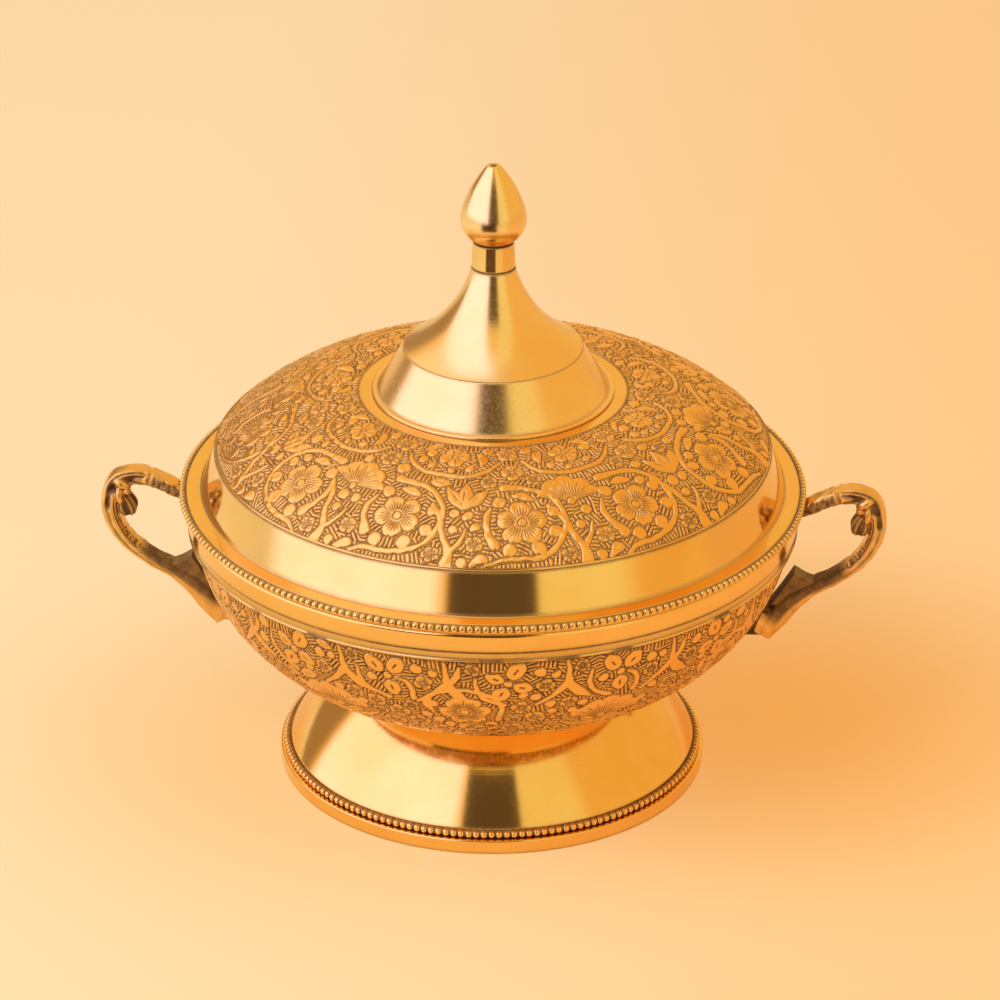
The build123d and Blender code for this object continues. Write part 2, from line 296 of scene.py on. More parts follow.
def outward(profile, faces):
    """Faces turned so that they look out of the closed profile."""
    p = np.array(profile, float)
    q = np.roll(p, -1, axis=0)
    area = (p[:, 0] * q[:, 1] - q[:, 0] * p[:, 1]).sum()
    return faces if area > 0 else faces[:, ::-1]


# Materials
class Graph:
    """Node tree of a material or world. Inputs are plain values or other nodes' sockets."""

    def __init__(self, owner):
        owner.use_nodes = True
        self.tree = owner.node_tree
        self.tree.nodes.clear()

    def node(self, kind, inputs=None, **settings):
        """Shader node with its settings, its inputs given by name or number."""
        made = self.tree.nodes.new("ShaderNode" + kind)
        for key, value in settings.items():
            setattr(made, key, value)
        for key, value in (inputs or {}).items():
            if isinstance(value, bpy.types.NodeSocket):
                self.tree.links.new(value, made.inputs[key])
            else:
                made.inputs[key].default_value = value
        return made

    def math(self, operation, a, b=0.0, clamp=False):
        return self.node("Math", {0: a, 1: b}, operation=operation, use_clamp=clamp).outputs[0]

    def mix(self, factor, a, b):
        return self.node("Mix", {0: factor, 6: a, 7: b}, data_type="RGBA").outputs[2]

    def ramp(self, value, low, high, start=0.0, end=1.0, smooth=False):
        """Value from low to high, mapped to the range from start to end."""
        inputs = {"Value": value, "From Min": low, "From Max": high, "To Min": start, "To Max": end}
        kind = "SMOOTHSTEP" if smooth else "LINEAR"
        return self.node("MapRange", inputs, interpolation_type=kind).outputs[0]

    def noise(self, place, scale, detail, roughness):
        inputs = {"Vector": place, "Scale": scale, "Detail": detail, "Roughness": roughness}
        return self.node("TexNoise", inputs).outputs["Fac"]

    def azimuth(self, split):
        """Direction in degrees, 0 towards -Y, of a place that is split into X, Y and Z."""
        back = self.math("MULTIPLY", split.outputs[1], -1.0)
        return self.math("DEGREES", self.math("ARCTAN2", split.outputs[0], back))


BRIGHT = linear(248, 204, 124)
DEEP = linear(243, 192, 106)
# Dark brown of patina, which also serves as painted shade, and its roughness and metal share
PATINA_AND_SHADE_COLOUR = linear(66, 30, 10)
POLISHED_ROUGHNESS = 0.10
PATINA_AND_SHADE_ROUGHNESS = 0.34
PATINA_AND_SHADE_METAL = 0.25
BUMP_HEIGHT = 0.00002


def brass(name, bright=BRIGHT, deep=DEEP, roughness=0.16, turning=0.0, speckle=0.0, grain=0.0, dull=None):
    """Brass with slow colour changes, faint turning marks, and patina and painted shade where the
    patina_and_shade attribute is.

    The dull colour is that of the parts whose polish attribute is 0."""
    material = bpy.data.materials.new(name)
    g = Graph(material)
    place = g.node("TexCoord").outputs["Object"]
    cloud = g.noise(place, 38.0, 3.0, 0.55)
    fine = g.noise(place, 900.0, 2.0, 0.6)
    patchy = g.noise(place, 260.0, 3.0, 0.6)
    split = g.node("SeparateXYZ", {0: place})
    squares = [g.math("POWER", split.outputs[k], 2.0) for k in (0, 1)]
    radius = g.math("SQRT", g.math("ADD", *squares))
    turned_at = g.node("CombineXYZ", {0: radius, 1: 0.0, 2: split.outputs[2]}).outputs[0]
    lines = g.noise(turned_at, 2400.0, 2.0, 0.7)
    # This attribute holds real patina and painted shade alike
    patina_and_shade_attribute, smooth = (g.node("Attribute", attribute_name=n).outputs["Fac"] for n in ("patina_and_shade", "polish"))
    patina_and_shade = g.math("MULTIPLY", patina_and_shade_attribute, g.ramp(patchy, 0.25, 0.6, 0.72, 1.0), clamp=True)
    patina_and_shade = g.math("MAXIMUM", patina_and_shade, g.ramp(fine, 0.62, 0.74, 0.0, speckle))
    colour = g.mix(g.ramp(cloud, 0.3, 0.7), bright, deep)
    if dull:
        colour = g.mix(smooth, dull, colour)
    rough = g.ramp(fine, 0.3, 0.7, roughness * 0.85, roughness * 1.25)
    rough = g.ramp(smooth, 0.0, 1.0, rough, POLISHED_ROUGHNESS)
    inputs = {
        "Base Color": g.mix(patina_and_shade, colour, PATINA_AND_SHADE_COLOUR),
        "Roughness": g.math("ADD", rough, g.math("MULTIPLY", patina_and_shade, PATINA_AND_SHADE_ROUGHNESS), clamp=True),
        "Metallic": g.ramp(patina_and_shade, 0.0, 1.0, 1.0, PATINA_AND_SHADE_METAL),
    }
    if turning or grain:
        coarse = g.math("MULTIPLY", g.math("SUBTRACT", 1.0, smooth), grain)
        height = g.math("ADD", g.math("MULTIPLY", lines, turning), g.math("MULTIPLY", fine, coarse))
        bump = {"Strength": 1.0, "Distance": BUMP_HEIGHT, "Height": height}
        inputs["Normal"] = g.node("Bump", bump).outputs[0]
    g.node("OutputMaterial", {"Surface": g.node("BsdfPrincipled", inputs).outputs[0]})
    return material


polished = brass("polished_brass", roughness=POLISHED_ROUGHNESS, turning=0.3, speckle=0.04)
satin = brass("satin_brass", linear(250, 213, 145), linear(247, 205, 130), 0.21, turning=0.6, speckle=0.06)
engraved = brass("engraved_brass", roughness=0.24, turning=0.2, grain=0.4, speckle=0.04,
                 dull=linear(247, 188, 100))
beaded = brass("beaded_brass", roughness=0.16, speckle=0.1)
cast = brass("cast_brass", linear(247, 202, 124), linear(240, 186, 106), 0.25, grain=1.2, speckle=0.25)
plain = brass("plain_brass", roughness=0.34, grain=1.0, speckle=0.3)


# Plain turned pieces
rim_profile = rounded([
    (92.3, RIM_TOP, 0.3), (98.3, RIM_TOP, 1.2), (97.8, SEAM + 0.45, 0.25), (97.4, SEAM + 0.05),
    (95.35, SEAM + 0.05), (95.35, 92.0), (92.3, 92.0, 0.3),
], 6)
# Dark along the seam; beside the handles, painted shadow and dark reflection of them
turned("rim_ring_turned", rim_profile, "dish", "rim_ring", polished, 384,
       [(97.4, SEAM, 0.75, 1.0), (95.4, SEAM, 1.6, 1.0)], 0.5, True)

collar_profile = rounded([
    (89.9, 88.5, 0.2), (91.5, 88.5, 0.3), (91.5, RIM_TOP, 0.2), (98.4, RIM_TOP, 0.2), (98.4, 94.9, 0.25),
    (98.0, 94.9), (98.0, 95.65), (89.9, 95.65, 0.2),
], 4)
# Painted shadow under the beads and along the edge that sits on the rim
turned("lid_collar_turned", collar_profile, "lid", "lid_collar", polished, 384,
       [(98.4, 94.0, 0.35, 0.5), (98.1, 94.95, 0.4, 0.9)], 0.4)

flare = sagitta_arc((65.8, 7.4), (45.4, FOOT_TOP), -1.0, 24)
foot_outer = [(69.0, 0.0), (69.0, 4.8), (65.8, 4.8)] + flare + [(SCREW_BORE, FOOT_TOP)]
foot_inner = [(SCREW_BORE, FOOT_TOP - 1.6)] + [(r - 1.6, z - 1.0) for r, z in flare[::-1] if z < 33.4] + [
    (64.2, 3.2), (67.4, 3.2), (67.4, 0.0)]
foot_profile = rounded(
    [(r, z, 0.5 if (r, z) in ((69.0, 4.8), (69.0, 0.0)) else 0.0) for r, z in foot_outer + foot_inner], 5
)
# Painted shade behind the beads, under the bowl and along the edge that stands on the floor
turned("foot_turned", foot_profile, "dish", "foot_shell", polished, 384,
       [(65.8, 4.8, 0.6, 0.6), (65.8, 7.3, 0.4, 0.35), (45.4, FOOT_TOP, 1.6, 0.9), (69.0, 0.0, 0.7, 0.6)],
       0.6)

trumpet = sagitta_arc((28.3, 145.3), (6.9, 172.5), 3.5, 30)
spire_outer = [(38.4, 130.15, 0.1), (38.4, 131.05, 0.4), (36.6, 131.05, 0.3), (28.5, 144.95, 0.1),
               (28.25, 145.1), (28.25, 145.35)]
spire_profile = rounded(
    spire_outer + trumpet[1:] + [(STUD_BORE, 172.5), (STUD_BORE, 171.2), (6.0, 171.2)]
    + [(r - 1.0, z - 0.8) for r, z in trumpet[-4:1:-1]]
    + [(27.2, 144.6), (35.3, 131.3), (35.3, 130.15)], 4
)
turned("spire_turned", spire_profile, "lid", "lid_spire", satin, 288,
       [(28.3, 145.25, 0.3, 0.5), (36.6, 131.1, 0.5, 0.3), (38.4, 130.15, 0.4, 0.4), (6.9, 172.5, 0.5, 0.9)],
       0.5)

ferrule_profile = rounded([
    (STUD_BORE, 172.55), (6.9, 172.55, 0.4), (6.5, 181.15, 0.2), (STUD_BORE, 181.15),
], 4)
turned("ferrule_turned", ferrule_profile, "lid", "ferrule", polished, 160,
       [(6.9, 172.5, 0.5, 1.0), (6.5, 181.2, 0.4, 1.0), (6.7, 176.8, 9.0, 0.1)], 0.4)


def finial_side():
    """Bud's side, from the tip down to its seat: two curves with given slopes, then an arc."""
    side = []
    knots = [((2.2, 206.4), (5.6, -7.4)), ((7.9, 197.3), (3.6, -8.8)), ((10.4, 188.8), (0.0, -8.4))]
    for (p, m), (q, n) in zip(knots[:-1], knots[1:]):
        for t in np.linspace(0, 1, 14)[:-1]:
            ease = 3 * t ** 2 - 2 * t ** 3
            leave, reach = t ** 3 - 2 * t ** 2 + t, t ** 3 - t ** 2
            side.append(tuple((1 - ease) * p[k] + leave * m[k] + ease * q[k] + reach * n[k] for k in (0, 1)))
    seat = (5.8, 181.2)
    return side + arc(knots[-1][0], seat, tangent_centre(knots[-1][0], (0, -1), seat), 20)


finial_profile = [(0.8, 206.3), (1.5, 206.52)] + finial_side() + [(STUD_BORE, 181.2), (STUD_BORE, 192.2)]
grid = spread_points(finial_profile, FINIAL_COLUMNS).reshape(-1, 3)
finial = new_object(
    "finial_turned", np.concatenate([grid, [[0, 0, 205.8], [0, 0, 192.2]]]) * MM,
    tube(len(finial_profile), FINIAL_COLUMNS, True)
)
mark = patina_and_shade_rows(finial_profile, [(0.8, 206.2, 0.5, 0.9), (5.8, 181.2, 0.8, 0.8)])
set_value(finial, "patina_and_shade", np.concatenate([np.repeat(mark, FINIAL_COLUMNS), [1.0, 0.0]]))
dress(finial, "lid", "finial", satin)


# Beaded wires
def bead_row(name, seat, centre, height, bead, body, replaced):
    """Ring of slightly square beads on a thin backing strip."""
    count = round(2 * math.pi * centre / BEAD_PITCH)
    lon = turns(BEAD_COLUMNS)
    lat = np.linspace(-math.pi / 2, math.pi / 2, BEAD_ROWS + 2)[1:-1, None]

    def soft(v):
        return np.sign(v) * np.abs(v) ** 0.82

    ball = np.stack([
        bead[0] * soft(np.cos(lat)) * soft(np.cos(lon)),
        bead[1] * soft(np.cos(lat)) * soft(np.sin(lon)),
        bead[2] * np.repeat(soft(np.sin(lat)), BEAD_COLUMNS, 1),
    ], -1).reshape(-1, 3)
    ball = np.vstack([ball, [0, 0, -bead[2]], [0, 0, bead[2]]])
    one = tube(BEAD_ROWS, BEAD_COLUMNS)
    turn = turns(count, 0.5) + rng.uniform(-0.04, 0.04, count) * BEAD_PITCH / centre
    local = ball[None] * rng.uniform(0.95, 1.04, (count, 1, 1))
    out = np.stack([np.sin(turn), -np.cos(turn)], -1)[:, None]
    side = np.stack([np.cos(turn), np.sin(turn)], -1)[:, None]
    flat = (centre + local[..., 1:2]) * out + local[..., 0:1] * side
    beads = np.concatenate([flat, height + local[..., 2:3]], -1).reshape(-1, 3)
    faces = (one[None] + (np.arange(count) * len(ball))[:, None, None]).reshape(-1, 3)
    strip = rounded([
        (seat, height - 1.0, 0.2), (centre + 0.1, height - 0.85, 0.2), (centre + 0.3, height, 0.2),
        (centre + 0.1, height + 0.85, 0.2), (seat, height + 1.0, 0.2),
    ], 3)
    backing = spread_points(strip, 288).reshape(-1, 3)
    strip_faces = join_faces(outward(strip, ring_grid(len(strip), 288, True)))
    faces = np.concatenate([faces, strip_faces + len(beads)])
    obj = new_object(name, np.concatenate([beads, backing]) * MM, faces)
    # Painted shade in the gaps between the beads and on their inner halves, partly patina; the backing strip
    # behind them is painted dark as well
    near = np.abs(local[..., 0]) / bead[0]
    behind = -local[..., 1] / bead[1]
    dark = darkest(np.clip((near - 0.62) / 0.3, 0, 1) * 0.72, 0.8 * np.clip((behind - 0.1) / 0.5, 0, 1))
    set_value(obj, "patina_and_shade", np.concatenate([dark.ravel(), np.full(len(backing), 0.8)]))
    dress(obj, body, replaced, beaded)


bead_row("lid_beads", 98.1, 99.05, 96.05, (1.12, 1.05, 1.05), "lid", "lid_bead_ring")
bead_row("foot_beads", 65.9, 66.95, 6.1, (1.12, 1.1, 1.15), "dish", "foot_bead_ring")


# Engraved bands
class Engraving:
    """Ornament on a band of a turned surface: distance to the nearest motif, and what is cut."""

    def __init__(self, profile, columns):
        self.profile = np.array(profile, float)
        self.columns = columns
        self.points = spread_points(self.profile, columns)
        steps = np.hypot(*np.diff(self.profile, axis=0).T)
        self.along = np.concatenate([[0], np.cumsum(steps)])
        shape = self.points.shape[:2]
        self.near = np.full(shape, 99.0)
        self.cut = np.zeros(shape)
        top, bottom = self.along[:, None], (self.along[-1] - self.along)[:, None]
        for edge in (top, bottom):
            self.offer(np.ix_(range(shape[0]), range(shape[1])), edge + np.zeros(shape))

    def window(self, azimuth, along, reach, turn, size, flip):
        """Rows and columns round a place, and their flat coordinates seen square to the surface."""
        angle = math.radians(azimuth)
        row = np.interp(along, self.along, np.arange(len(self.along)))
        r, z = (np.interp(along, self.along, self.profile[:, k]) for k in (0, 1))
        lo, hi = int(max(row - 2, 0)), int(min(row + 2, len(self.along) - 1))
        up = self.profile[lo] - self.profile[hi]
        up /= np.linalg.norm(up)
        if self.profile[0, 1] < self.profile[-1, 1]:
            up = -up
        rows = np.where(np.abs(self.along - along) < reach * size)[0]
        least = max(self.profile[rows, 0].min(), 1.0)
        half = int(math.ceil(reach * size / least / (2 * math.pi) * self.columns))
        mid = int(round(angle / (2 * math.pi) * self.columns))
        cols = np.arange(mid - half, mid + half + 1) % self.columns
        here = self.points[np.ix_(rows, cols)] - (r * math.sin(angle), -r * math.cos(angle), z)
        side = np.array([math.cos(angle), math.sin(angle), 0.0])
        lift = np.array([up[0] * math.sin(angle), -up[0] * math.cos(angle), up[1]])
        x, y = here @ side / size, here @ lift / size
        c, s = math.cos(math.radians(turn)), math.sin(math.radians(turn))
        x, y = c * x + s * y, -s * x + c * y
        return np.ix_(rows, cols), (-x if flip else x), y

    def place(self, motif, azimuth, along, turn=0.0, size=1.0, flip=False):
        """Draws a motif: a list of shapes, each one a function of flat coordinates."""
        where, x, y = self.window(azimuth, along, motif.reach, turn, size, flip)
        wobble = rng.uniform(0, 6.3, 4)
        x = x + 0.18 * np.sin(y * 0.55 + wobble[0]) + 0.08 * np.sin(y * 1.7 + wobble[1])
        y = y + 0.18 * np.sin(x * 0.5 + wobble[2]) + 0.08 * np.sin(x * 1.6 + wobble[3])
        for shape in motif.shapes:
            self.offer(where, shape(x, y) * size)
        cut = self.cut[where]
        for line in motif.lines:
            cut = np.maximum(cut, line(x, y))
        self.cut[where] = cut

    def offer(self, where, distance):
        """Keeps the nearer outline, point by point; a motif covers the cuts of the one below it."""
        near = self.near[where]
        closer = distance < near
        self.near[where] = np.where(closer, distance, near)
        self.cut[where] = np.where(closer & (distance < 0), 0.0, self.cut[where])


def through(points, steps=6):
    """Smooth curve through points (x, y, half width)."""
    p = np.array(points, float)
    p = np.vstack([2 * p[0] - p[1], p, 2 * p[-1] - p[-2]])
    out = []
    for i in range(1, len(p) - 2):
        for t in np.arange(steps) / steps:
            a, b, c, d = p[i - 1:i + 3]
            out.append(0.5 * (2 * b + (c - a) * t + (2 * a - 5 * b + 4 * c - d) * t * t
                              + (3 * b - a - 3 * c + d) * t ** 3))
    out.append(p[-2])
    return np.array(out)


def ribbon(line):
    """Strip along a line of places (x, y, half width)."""
    def shape(x, y):
        best = np.full(x.shape, 99.0)
        for a, b in zip(line[:-1], line[1:]):
            d = b[:2] - a[:2]
            length = max(float(np.hypot(*d)), 1e-6)
            t = np.clip(((x - a[0]) * d[0] + (y - a[1]) * d[1]) / length ** 2, 0, 1)
            far = np.hypot(x - a[0] - t * d[0], y - a[1] - t * d[1]) - (a[2] + t * (b[2] - a[2]))
            best = np.minimum(best, far)
        return best

    return shape


def groove(points, depth=1.0, width=0.24):
    """Cut line through points (x, y); its ends taper."""
    line = through([(*p, width) for p in points], 4)
    line[0, 2] = line[-1, 2] = width * 0.35
    inner = ribbon(line)

    def cut(x, y):
        return depth * (1 - smooth_step(inner(x, y), -0.12, 0.16))

    return cut


def ring_cut(radius, width=0.2):
    """Cut ring round a motif's middle."""
    def cut(x, y):
        return 1 - smooth_step(np.abs(np.hypot(x, y) - radius), width * 0.5, width * 1.4)

    return cut


class Motif:
    def __init__(self, reach):
        self.reach = reach
        self.shapes = []
        self.lines = []

    def flower(self, radius, petals=5, turn=0.0, veins=5):
        """Petals with notched tips, radial veins and a round centre."""
        def shape(x, y):
            angle = np.arctan2(y, x) - turn
            wave = np.abs(np.cos(angle * petals / 2)) ** 0.6
            tip = np.exp(-(np.sin(angle * petals / 2) / 0.16) ** 2)
            return (np.hypot(x, y) - radius * (0.66 + 0.34 * wave - 0.05 * tip)) * 0.9

        self.shapes.append(shape)
        self.lines.append(ring_cut(radius * 0.19))
        for k in range(petals):
            between = turn + (k + 0.5) * 2 * math.pi / petals
            self.spoke(0, 0, between, [f * radius for f in (0.3, 0.52, 0.74)], 0.9, 0.2)
            for v in range(veins):
                share = (v - (veins - 1) / 2) / max(veins - 1, 1)
                a = turn + k * 2 * math.pi / petals + share * 2 * math.pi / petals * 0.62
                self.spoke(0, 0, a, [0.27 * radius, (0.76 - 0.22 * abs(share)) * radius], 0.95, 0.17)

    def spoke(self, cx, cy, angle, distances, depth, width):
        """Groove that runs straight out from a centre."""
        c, s = math.cos(angle), math.sin(angle)
        self.lines.append(groove([(cx + far * c, cy + far * s) for far in distances], depth, width))

    def fan(self, cx, cy, inner, outer, aim, spread, lobes=3, ribs=13):
        """Shell of radiating ribs round a small arch."""
        def shape(x, y):
            far = np.hypot(x - cx, y - cy)
            angle = (np.arctan2(y - cy, x - cx) - aim + math.pi) % (2 * math.pi) - math.pi
            wave = np.abs(np.cos(angle / spread * math.pi * lobes / 2)) ** 0.5
            edge = outer * (0.86 + 0.14 * wave)
            return np.maximum.reduce([far - edge, (np.abs(angle) - spread) * far, inner - far])
        self.shapes.append(shape)
        for k in range(ribs):
            a = aim + spread * (2 * (k + 0.5) / ribs - 1)
            self.spoke(cx, cy, a, (inner + 0.5, outer * (0.62 if k % 2 else 0.8)), 0.85, 0.15)

    def discs(self, *places):
        """Round grains, each given as x, y and radius."""
        for cx, cy, radius in places:
            self.shapes.append(lambda x, y, cx=cx, cy=cy, radius=radius: np.hypot(x - cx, y - cy) - radius)

    def ribbon(self, *points):
        """Curved strip or leaf through points (x, y, half width)."""
        self.shapes.append(ribbon(through(points)))

    def cut(self, *points, depth=0.9, width=0.18):
        self.lines.append(groove(points, depth, width))


def blurred(field, rows, columns):
    """Running mean over a window of rows and columns; the columns go all the way round."""
    wide = np.concatenate([field[:, -columns:], field, field[:, :columns]], axis=1)
    total = np.cumsum(np.pad(wide, ((0, 0), (1, 0))), axis=1)
    mean = (total[:, 2 * columns:] - total[:, :-2 * columns])[:, :field.shape[1]] / (2 * columns)
    tall = np.pad(mean, ((rows + 1, rows), (0, 0)), mode="edge")
    total = np.cumsum(tall, axis=0)
    return (total[2 * rows + 1:] - total[:-2 * rows - 1]) / (2 * rows + 1)


def hatching(engraving, pitch, cell=4.2):
    """Share of chisel stroke at each point. Strokes are parallel within a small field, and they cross
    the gap between two motifs the short way."""
    near = engraving.near
    rows, columns = near.shape
    step = engraving.along[1]
    radius = engraving.profile[:, :1]
    across = 2 * math.pi * radius / columns
    reach = 1.6
    gx = (np.roll(near, -1, 1) - np.roll(near, 1, 1)) / (2 * across)
    gy = np.gradient(near, axis=0) / step
    free = near > 0
    spread = (max(1, int(reach / step / 2)), max(1, int(reach / across.mean() / 2)))
    same = blurred((gx * gx - gy * gy) * free, *spread)
    cross = blurred(2 * gx * gy * free, *spread)
    heading = 0.5 * np.arctan2(cross, same)
    down = int(math.ceil(engraving.along[-1] / cell))
    round_about = int(round(2 * math.pi * radius.mean() / cell))
    seed_row = (np.arange(down)[:, None] + rng.uniform(0.15, 0.85, (down, round_about))) * cell
    seed_turn = (np.arange(round_about) + rng.uniform(0.15, 0.85, (down, round_about))) / round_about
    i = np.clip((seed_row / step).astype(int), 0, rows - 1)
    j = (seed_turn * columns).astype(int) % columns
    seed_heading = heading[i, j]
    shift = rng.uniform(0, 1, (down, round_about))
    row_at = engraving.along[:, None]
    turn_at = np.arange(columns)[None, :] / columns
    my_row = np.minimum((row_at / cell).astype(int), down - 1)
    my_turn = (turn_at * round_about).astype(int)
    best = np.full(near.shape, 1e9)
    phase = np.zeros(near.shape)
    for di in (-1, 0, 1):
        a = my_row + di
        inside = (a >= 0) & (a < down)
        a = np.clip(a, 0, down - 1)
        for dj in (-1, 0, 1):
            b = (my_turn + dj) % round_about
            dy = row_at - seed_row[a, b]
            dx = ((turn_at - seed_turn[a, b] + 0.5) % 1.0 - 0.5) * 2 * math.pi * radius
            far = np.where(inside, dx * dx + dy * dy, 1e9)
            closer = far < best
            best = np.where(closer, far, best)
            angle = seed_heading[a, b]
            along = -np.sin(angle) * dx + np.cos(angle) * dy
            phase = np.where(closer, along / pitch + shift[a, b], phase)
    return smooth_step(np.cos(phase * 2 * math.pi), -0.3, 0.35)


def relief(engraving, depth=0.42, pitch=1.3):
    """Depth cut below the surface at each point, and its tarnish."""
    near = engraving.near
    outline = np.exp(-((near - 0.22) / 0.25) ** 2)
    stroke = hatching(engraving, pitch) * smooth_step(near, 0.2, 0.4)
    cut = np.where(near < 0.05, engraving.cut, 0.0)
    ground = smooth_step(near, 0.2, 0.5)
    patina_and_shade = np.maximum.reduce([outline, stroke, ground * 0.05, cut * 0.92])
    down = np.maximum.reduce([outline, stroke * 0.85, ground * 0.12, cut * 0.7]) * depth
    shoulder = 0.13 * np.exp(np.minimum(near, 0.0) / 0.8)
    turn = turns(engraving.columns)
    s = engraving.along[:, None]
    uneven = (np.sin(83 * turn + 0.9 * s + 1.3 * np.sin(0.45 * s + 23 * turn))
              + np.sin(0.8 * s - 127 * turn + 1.5 * np.sin(31 * turn - 0.3 * s)))
    return down + shoulder + 0.045 * (2 + uneven), np.clip(patina_and_shade, 0, 1)


def fill_gaps(engraving, least=2.5):
    """Small flowers, leaves and discs wherever the motifs leave a wide gap."""
    rows, columns = engraving.near.shape
    rise = 1 if engraving.profile[0, 1] < engraving.profile[-1, 1] else -1
    step = engraving.along[1]
    free = engraving.near.copy()
    for _ in range(1500):
        i, j = np.unravel_index(np.argmax(free), free.shape)
        room = free[i, j]
        if room < least:
            break
        across = 2 * math.pi * engraving.profile[i, 0] / columns
        best, aim = -1.0, 0.0
        for angle in range(0, 180, 20):
            dx, dy = math.cos(math.radians(angle)), math.sin(math.radians(angle))
            clear = 0.0
            for way in (-1.7, 1.7):
                r = int(round(i + rise * way * room * dy / step))
                c = int(round(j + way * room * dx / across)) % columns
                clear += engraving.near[r, c] if 0 <= r < rows else 0.0
            if clear > best:
                best, aim = clear, float(angle)
        size = min(room - 0.95, 3.6)
        m = Motif(size * 1.8 + 7.0)
        if size > 2.3:
            m.flower(size, int(rng.integers(4, 6)), rng.uniform(0, 6), 3)
        elif best > 0.9 * room:
            m.ribbon((-size * 1.7, 0.2 * size, 0.25), (0, 0, size), (size * 1.7, -0.3 * size, 0.25))
            m.cut((-size * 0.8, 0.1 * size), (size * 0.9, -0.15 * size), width=0.14)
        else:
            m.discs((0, 0, size))
        engraving.place(m, math.degrees(j * 2 * math.pi / columns), engraving.along[i], aim)
        reach = room * 1.9
        span = int(math.ceil(reach / across))
        low, high = max(0, i - int(reach / step)), min(rows, i + int(reach / step) + 1)
        cols = np.arange(j - span, j + span + 1) % columns
        where = np.ix_(np.arange(low, high), cols)
        free[where] = engraving.near[where]
        free[i, j] = 0.0


def lid_motif(kind):
    """Flower in its scroll circle on the lid's lower row."""
    m = Motif(21.0)
    m.flower(*((7.6, 5, 0.9) if kind else (7.9, 5, 0.35)))
    m.ribbon(
        (-11.5, -14.2, 0.5), (-6.5, -12.6, 0.8), (0, -12.4, 0.85), (6.5, -11.0, 0.85), (11.6, -6.4, 0.85),
        (13.6, 0.5, 0.85), (12.2, 6.8, 0.85), (7.6, 11.6, 0.9), (1.0, 13.4, 0.9), (-5.0, 13.8, 1.4),
    )
    m.ribbon((-9.2, 5.8, 0.5), (-10.9, 2.0, 0.95), (-10.6, -3.0, 1.0), (-8.6, -7.4, 1.7))
    m.ribbon((-2.2, 10.4, 0.5), (0.6, 10.2, 1.5), (3.6, 9.0, 0.6))
    m.discs((-6.4, 8.0, 2.1), (9.9, 4.6, 1.9), (10.3, -2.6, 2.1), (5.0, -8.4, 2.3), (-4.2, -9.3, 2.2))
    return m


def lid_between(kind):
    """Stems, leaves and a fan between two flowers of the lid's lower row."""
    m = Motif(22.0)
    m.ribbon((-3.2, -14.8, 2.0), (-2.6, -10.5, 1.3), (-4.8, -5.0, 0.9), (-5.6, 1.0, 0.9), (-8.6, 6.6, 0.7))
    m.ribbon((-2.8, -11.0, 1.0), (0.6, -6.6, 0.7), (2.4, -2.4, 0.4))
    m.ribbon((4.6, -14.6, 0.6), (7.6, -12.6, 1.7), (9.6, -12.8, 0.4))
    m.discs((1.8, -13.6, 1.7), (2.6, 2.4, 1.7), (-1.4, -2.6, 1.5))
    if kind == 0:
        m.fan(-1.0, 6.2, 1.6, 10.6, math.radians(82), math.radians(72), 4, 15)
        m.discs((-1.0, 6.2, 1.25))
    else:
        m.ribbon((0.5, 5.2, 0.4), (-1.6, 9.0, 2.1), (-4.2, 13.2, 0.4))
        m.ribbon((1.0, 5.2, 0.4), (1.6, 10.0, 2.2), (1.2, 15.0, 0.4))
        m.ribbon((1.6, 5.2, 0.4), (4.8, 8.6, 2.0), (7.8, 11.8, 0.4))
        for a in (-0.55, 0.0, 0.55):
            s, c = math.sin(a), math.cos(a)
            m.cut((1.0 + 3 * s, 6.0 + 2.4 * c), (1.0 + 7 * s, 5.4 + 6.6 * c))
    return m


def lid_upper(kind):
    """Small flower in a lobe on the lid's upper row."""
    m = Motif(15.0)
    m.flower(4.9, 5 if kind else 4, 0.4, 1)
    m.ribbon(
        (-14.0, -1.0, 0.5), (-12.0, -4.6, 0.75), (-7.5, -8.0, 0.75), (0, -9.2, 0.8), (7.5, -8.0, 0.75),
        (12.0, -4.4, 0.75), (14.0, 0.5, 0.5),
    )
    m.ribbon((6.4, 3.6, 0.4), (8.6, 1.2, 1.5), (9.4, -2.4, 0.4))
    m.ribbon((-5.0, 5.4, 0.4), (-7.4, 5.0, 1.2), (-10.0, 2.6, 0.4))
    m.discs((-7.6, 1.2, 1.8), (-5.6, -5.0, 1.3), (6.4, -4.6, 1.4), (1.0, -6.6, 1.2))
    return m


def bowl_upper(kind):
    """Open flower on the bowl's upper row: separate oval petals, each with a dark slit."""
    m = Motif(17.0)
    petals = (((150, 0.8), (62, 1.05), (-28, 0.85), (-118, 1.0)), ((128, 1.0), (50, 1.0), (-80, 0.95)))[kind]
    for a, size in petals:
        c, s = math.cos(math.radians(a)) * size, math.sin(math.radians(a)) * size
        m.ribbon((2.8 * c, 2.8 * s, 0.8), (5.4 * c, 5.4 * s, 2.8 * size), (7.9 * c, 7.9 * s, 1.4))
        m.cut((4.2 * c, 4.2 * s), (5.2 * c, 5.2 * s), (6.4 * c, 6.4 * s), width=0.3, depth=1.0)
    if kind:
        m.ribbon((2.6, -0.6, 0.5), (5.6, -2.0, 0.8), (7.2, -5.6, 0.9), (6.6, -10.0, 1.0))
    m.ribbon((-10.0, 2.4, 0.5), (-9.8, -2.6, 0.8), (-7.0, -7.4, 0.9), (-1.6, -10.2, 1.0))
    m.discs((0, 0, 1.35), (-5.4, -1.6, 1.7) if kind else (4.4, -6.0, 1.5), (10.2, 3.6, 1.9))
    return m


